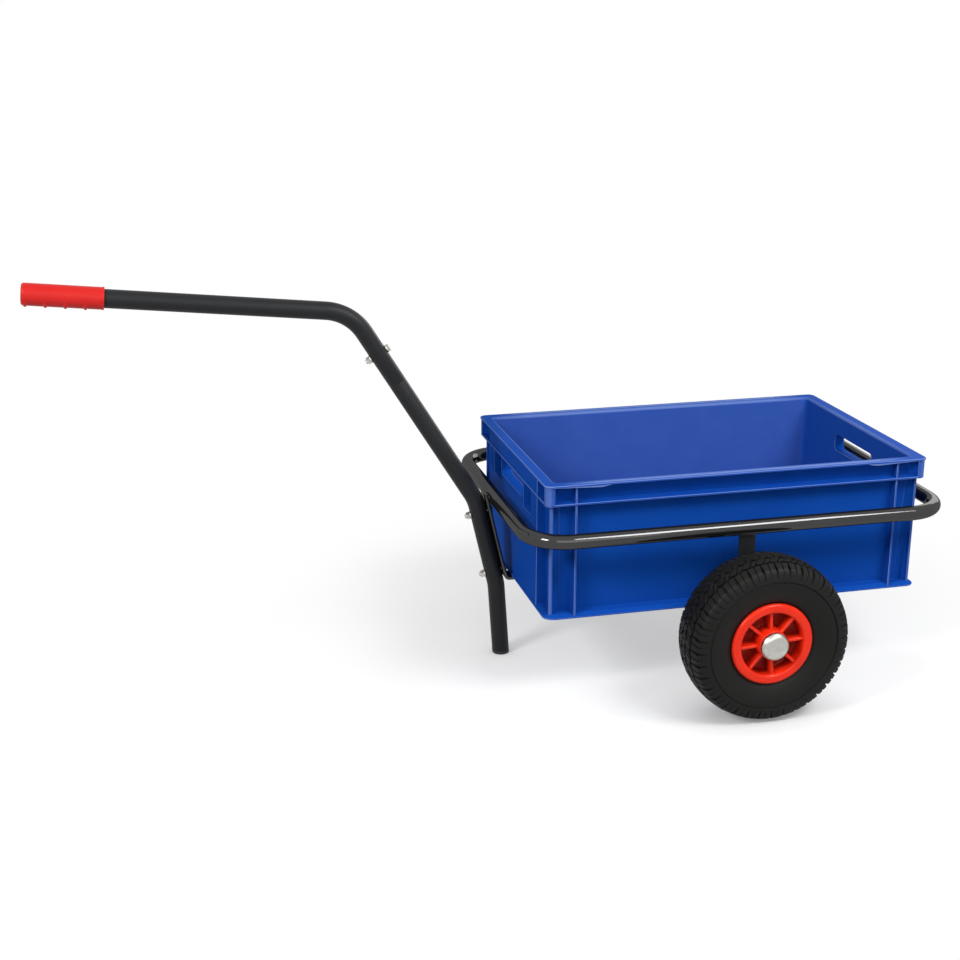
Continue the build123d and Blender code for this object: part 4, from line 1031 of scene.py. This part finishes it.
def tread_sheet(centre):
    """Tyre skin: section point minus depth times its normal, at the angle of each column.

    The depth is the largest of these: two pairs of round grooves on the crown, notches that open in a V
    at the shoulder and run out down the sidewall, and finer cross cuts half a pitch on. Columns are
    sheared into chevrons, spread where the notches open, and swayed in a zigzag along the crown.
    """
    section, normal = tyre_section()
    r, w = section[:, 0], np.abs(section[:, 1])
    local = np.append(np.tile(PHASES, PITCHES), 0.0)
    column = np.append((np.arange(PITCHES)[:, None] + PHASES).ravel(), PITCHES) / PITCHES
    notch, cut = between(local, NOTCH), between(local, CUT)

    crown, shoulder = r > CROWN_FROM, (w > FAR_GROOVE[1]) & (r > SIDE_FROM)
    round_groove = crown * (between(w, NEAR_GROOVE) | between(w, FAR_GROOVE))
    notch_fade = shoulder * np.interp(r, [98.2, 100.5, 110, 115], [0, 0.5, 2.0, 3.4])
    cut_fade = shoulder * np.interp(r, [101, 104, 113, 116], [0, 0.7, 0.9, 1.6])
    depth = np.maximum(TREAD_DEPTH * round_groove[:, None], notch_fade[:, None] * notch)
    depth = np.maximum(depth, cut_fade[:, None] * cut)
    depth = np.maximum(depth, (CROSS_DEPTH * crown * (w < FAR_GROOVE[0]))[:, None] * (notch | cut))
    disc = np.clip((STEP_AT + 0.6 - r) / 0.6, 0, 1) * np.clip((r - 63) / 12, 0, 1)
    depth += (1.2 * disc + 0.7 * np.exp(-((r - STEP_AT) / 0.5) ** 2) * (w > 30))[:, None]

    shear = np.interp(w, [0, 5, 8.4, 19, 22.4, 36, 43], [0, 0.2, -0.2, 0.22, -0.04, 0.05, 0.05])
    open_out = np.interp(w, [22, 27, 34.5, 37.5, 40], [0, 0.0, 0.07, 0.045, 0.0]) * (r > 104)
    lips = [local < 0.02, local < 0.03, between(local, (0.08, 0.09)), between(local, (0.1, 0.12))]
    spread = np.select(lips, [-1, -0.5, 0.5, 1], 0)
    angle = 2 * np.pi * (column + (shear[:, None] + open_out[:, None] * spread) / PITCHES)
    zig = 1 - 2 * np.abs((2 * local) % 2 - 1)
    sway = SWAY * zig * (np.interp(w, [0, 4, 8, 19, 24], [0.3, 0.8, 1, 1, 0]) * crown)[:, None]
    radius = r[:, None] - depth * normal[:, :1]
    offset = section[:, 1:] - depth * normal[:, 1:] + sway * np.where(section[:, 1:] < 0, -1, 1)
    x, z = radius * np.cos(angle), radius * np.sin(angle)
    return np.stack([x, offset, z], -1) + np.asarray(centre, float)


wheels = {"left": ((0, -WHEEL_Y, AXLE[2]), -1), "right": ((0, WHEEL_Y, AXLE[2]), 1)}
for name, (hub, _) in wheels.items():
    make_piece(f"{name}_tyre_skin", [tread_sheet(hub)], tyre_rubber, f"{name}_wheel", [f"{name}_tyre"], 40)

# %% [markdown]
# ## Rims
# Each rim half is a moulded dish: a rolled lip, a recessed web, a hub and eight ribs. Blender's Spin
# would turn the dish, but it works on a drawn mesh. A formula needs only the rounded outline, which is
# turned about the axle, and a rib is a rounded strip carried from hub to barrel.

# %% Rim halves
RIM_R, RECESS_R, BARREL_R, HUB_R, HUB_END, BORE_R = 61.7, 47.5, 50.6, 22.5, 38.0, 15.05
WEB_OUT, SEAT_OUT, LIP_OUT, RIB_OUT = 12, 30, 36, 31.5
RIB_COUNT, RIB_TURN = 8, radians(4)


def turned(profile, centre, outward=1, count=96):
    """Sheet turned about the cart's Y direction: a profile of (radius, offset) carried round a centre.

    Each point is centre + (radius * cos, outward * offset, radius * sin) of its angle.
    """
    angle = np.linspace(0, 2 * np.pi, count + 1)[:, None]
    radius, offset = profile[None, :, 0], profile[None, :, 1]
    x, z = radius * np.cos(angle), radius * np.sin(angle)
    y = np.broadcast_to(outward * offset, x.shape)
    return np.stack([x, y, z], -1) + np.asarray(centre, float)


def rim_half(hub, outward):
    """Sheets of one rim half: the turned dish and eight ribs with rounded tops."""
    outline = [
        (BORE_R, 0), (BORE_R, HUB_END), (HUB_R - 0.5, HUB_END), (HUB_R + 0.6, WEB_OUT), (46.6, WEB_OUT),
        (RECESS_R, LIP_OUT), (RIM_R, LIP_OUT), (RIM_R, SEAT_OUT), (BARREL_R, SEAT_OUT), (BARREL_R, 0),
    ]
    rounding = [0.1, 0.6, 1.5, 2.0, 3.0, 4.2, 4.6, 1.2, 0.8, 0.1]
    sheets = [turned(rounded_outline(outline, rounding, 9, closed=True), hub, outward)]
    keys = [(-2.9, WEB_OUT - 1), (-2.2, RIB_OUT), (2.2, RIB_OUT), (2.9, WEB_OUT - 1)]
    strip = rounded_outline(keys, [0, 1.3, 1.3, 0], 5)
    reach = np.linspace(HUB_R - 2, RECESS_R + 1, 4)
    axial = np.array([0, outward, 0])
    for turn in np.arange(RIB_COUNT) * 2 * np.pi / RIB_COUNT + RIB_TURN:
        radial = np.array([np.cos(turn), 0, np.sin(turn)])
        sideways = np.array([-np.sin(turn), 0, np.cos(turn)])
        rib = reach[:, None, None] * radial + strip[None, :, :1] * sideways + strip[None, :, 1:] * axial
        sheets.append(np.asarray(hub) + rib)
    return sheets


for name, (hub, out) in wheels.items():
    for half, way in (("outer", out), ("inner", -out)):
        stands_for = [f"{name}_rim_{half}_half"]
        make_piece(f"{name}_rim_{half}_dish", rim_half(hub, way), rim_plastic, f"{name}_wheel", stands_for)

# %% [markdown]
# ## Axle caps
# A pressed dome of zinc-plated steel snaps over each axle end. Part of a sphere would be too round at
# the crown, so its outline is a short rim, a shoulder arc and a nearly flat top, turned as the rim is.

# %% Pressed caps
CAP_R, CAP_BASE, CAP_H = 21.1, 41.3, 9.5


def cap_sheet(hub, outward):
    """Dome turned from a rounded outline, closed by its base."""
    outline = [(0, 0), (CAP_R, 0), (CAP_R, 2.6), (17.5, 7.6), (8.5, CAP_H), (0, CAP_H)]
    outline = rounded_outline(outline, [0, 0.4, 2.2, 9.0, 14.0, 0], 10)
    return turned(outline + (0, CAP_BASE), hub, outward, 72)


for name, (hub, out) in wheels.items():
    make_piece(f"{name}_cap_dome", [cap_sheet(hub, out)], zinc_plate, "cart", [f"{name}_axle_cap"])

# %% [markdown]
# ## Floor, light and camera
# A white floor takes the soft shadows. Near the cart part of its white is its own light, so the shadows
# stay pale as on a studio sweep. Close to what touches it the glow dims, which keeps the dark line of
# contact, and away from the cart the floor turns to plain white. More light on the cart would also
# whiten the floor, but would bleach the colours.

# %% Studio floor
FLOOR_HALF, CONTACT = 6.0, 0.1
WHITE = (1, 1, 1, 1)
floor_white, tree, place = blank_material("studio_floor_white")
rays = add(tree, "LightPath").outputs
seen = add(tree, "Math", {0: rays["Is Camera Ray"], 1: rays["Is Glossy Ray"]}, operation="MAXIMUM")
seen = add(tree, "Math", {0: seen, 1: rays["Is Transmission Ray"]}, operation="MAXIMUM")
away = add(tree, "VectorMath", {0: place, 1: (AXLE[0] * MM, 0.0, 0.0)}, operation="DISTANCE")
fade = {"Value": away, "From Min": 0.4, "From Max": 0.8}
fade = add(tree, "MapRange", fade, interpolation_type="SMOOTHSTEP")
open_floor = add(tree, "Math", {0: seen, 1: fade}, operation="MULTIPLY")
paint = add(tree, "BsdfDiffuse", {"Color": linear("#b2b2b2")})
close = add(tree, "AmbientOcclusion", {"Distance": CONTACT}, samples=12).outputs["AO"]
dimmed = {"From Min": 0.35, "From Max": 0.9, "To Min": 0.2, "To Max": 0.5}
close = add(tree, "MapRange", {"Value": close, **dimmed})
glow = add(tree, "Emission", {"Color": WHITE, "Strength": close})
dark = add(tree, "Emission", {"Color": WHITE, "Strength": 0.0})
lift = add(tree, "MixShader", {0: seen, 1: dark, 2: glow})
near = add(tree, "AddShader", {0: paint, 1: lift})
plain = add(tree, "Emission", {"Color": WHITE, "Strength": 1.0})
whole = add(tree, "MixShader", {0: open_floor, 1: near, 2: plain})
add(tree, "OutputMaterial", {"Surface": whole})
floor_mesh = bpy.data.meshes.new("studio_floor")
reach = (-FLOOR_HALF, FLOOR_HALF)
floor_mesh.from_pydata([(x, y, 0.0) for x in reach for y in reach], [], [(0, 2, 3, 1)])
floor_mesh.materials.append(floor_white)
floor = bpy.data.objects.new("studio_floor", floor_mesh)
bpy.context.scene.collection.objects.link(floor)
print("floor", 2 * FLOOR_HALF, "m wide,", len(tree.nodes), "nodes")

# %% World
scene = bpy.context.scene
scene.view_settings.view_transform = "Standard"
world = bpy.data.worlds.new("studio_world")
scene.world = world
world.use_nodes = True
tree = world.node_tree
tree.nodes.clear()
rays = add(tree, "LightPath").outputs
fill = add(tree, "Background", {"Color": WHITE, "Strength": 0.27})
white = add(tree, "Background", {"Color": WHITE, "Strength": 1.0})
seen = add(tree, "Math", {0: rays["Is Glossy Ray"], 1: rays["Is Transmission Ray"]}, operation="MAXIMUM")
seen = add(tree, "Math", {0: rays["Is Camera Ray"], 1: seen}, operation="MAXIMUM")
pick = add(tree, "MixShader", {0: seen, 1: fill, 2: white})
add(tree, "OutputWorld", {"Surface": pick})
print(world.name, len(tree.nodes), "nodes")

# %% [markdown]
# Four lamps do the rest. The key lamp stands high on the right of the camera, and its mirror image is the
# long bright line on the hoop. A wide, weak one in front and a small one on the front left fill in, and
# a weak one behind the cart on the right lights its rear end. A ring of lamps would be more even, but
# would draw many lines on the tubes instead of one.

# %% Lamps


def softbox(name, at, aim, width, height, power):
    """Area lamp of a power in watts at a point, turned towards another: all lengths are in metres.

    A lamp looks down its own Z axis, so the line back from the aim gives its pitch and its yaw.
    """
    lamp = bpy.data.lights.new(name, "AREA")
    lamp.shape, lamp.size, lamp.size_y, lamp.energy = "RECTANGLE", width, height, power
    holder = bpy.data.objects.new(name, lamp)
    holder.location = at
    back = unit(np.subtract(at, aim))
    yaw, pitch = np.arctan2(back[0], -back[1]), np.arcsin(back[2])
    holder.rotation_euler = (np.pi / 2 - pitch, 0, yaw)
    scene.collection.objects.link(holder)
    print(name, power, "W")


softbox("front_softbox", (0.0, -2.4, 1.5), (0.3, 0, 0.2), 2.2, 1.4, 16)
softbox("key_softbox", (1.15, -1.4, 2.0), (0.45, -0.2, 0.2), 1.1, 0.74, 45)
softbox("left_softbox", (-2.3, -1.45, 2.1), (0.1, 0, 0.25), 0.8, 0.8, 70)
softbox("back_softbox", (2.2, 1.7, 1.1), (0.3, 0, 0.2), 1.5, 1.2, 24)

# %% [markdown]
# The camera stands where the photograph's did. Its place, its tilt and its focal length were worked out
# from the crate, whose size is known, so they are plain numbers here. Framing by eye would be quicker, but
# then no edge in the render could be held against the photograph.

# %% Camera
FOCAL_PX, FRAME_PX, SENSOR = 1516, 960, 36
EYE, DOWN, TURN = (-877, -2163, 1002), 17.70, -13.76  # millimetres from the axle's middle, degrees
camera = bpy.data.objects.new("photo_camera", bpy.data.cameras.new("photo_camera"))
camera.data.lens = FOCAL_PX / FRAME_PX * SENSOR
camera.data.sensor_width = SENSOR
camera.location = (np.array(EYE) + (AXLE[0], 0, 0)) * MM
camera.rotation_euler = (radians(90 - DOWN), 0, radians(TURN))
scene.collection.objects.link(camera)
scene.camera = camera
print("camera at", tuple(round(c, 3) for c in camera.location))
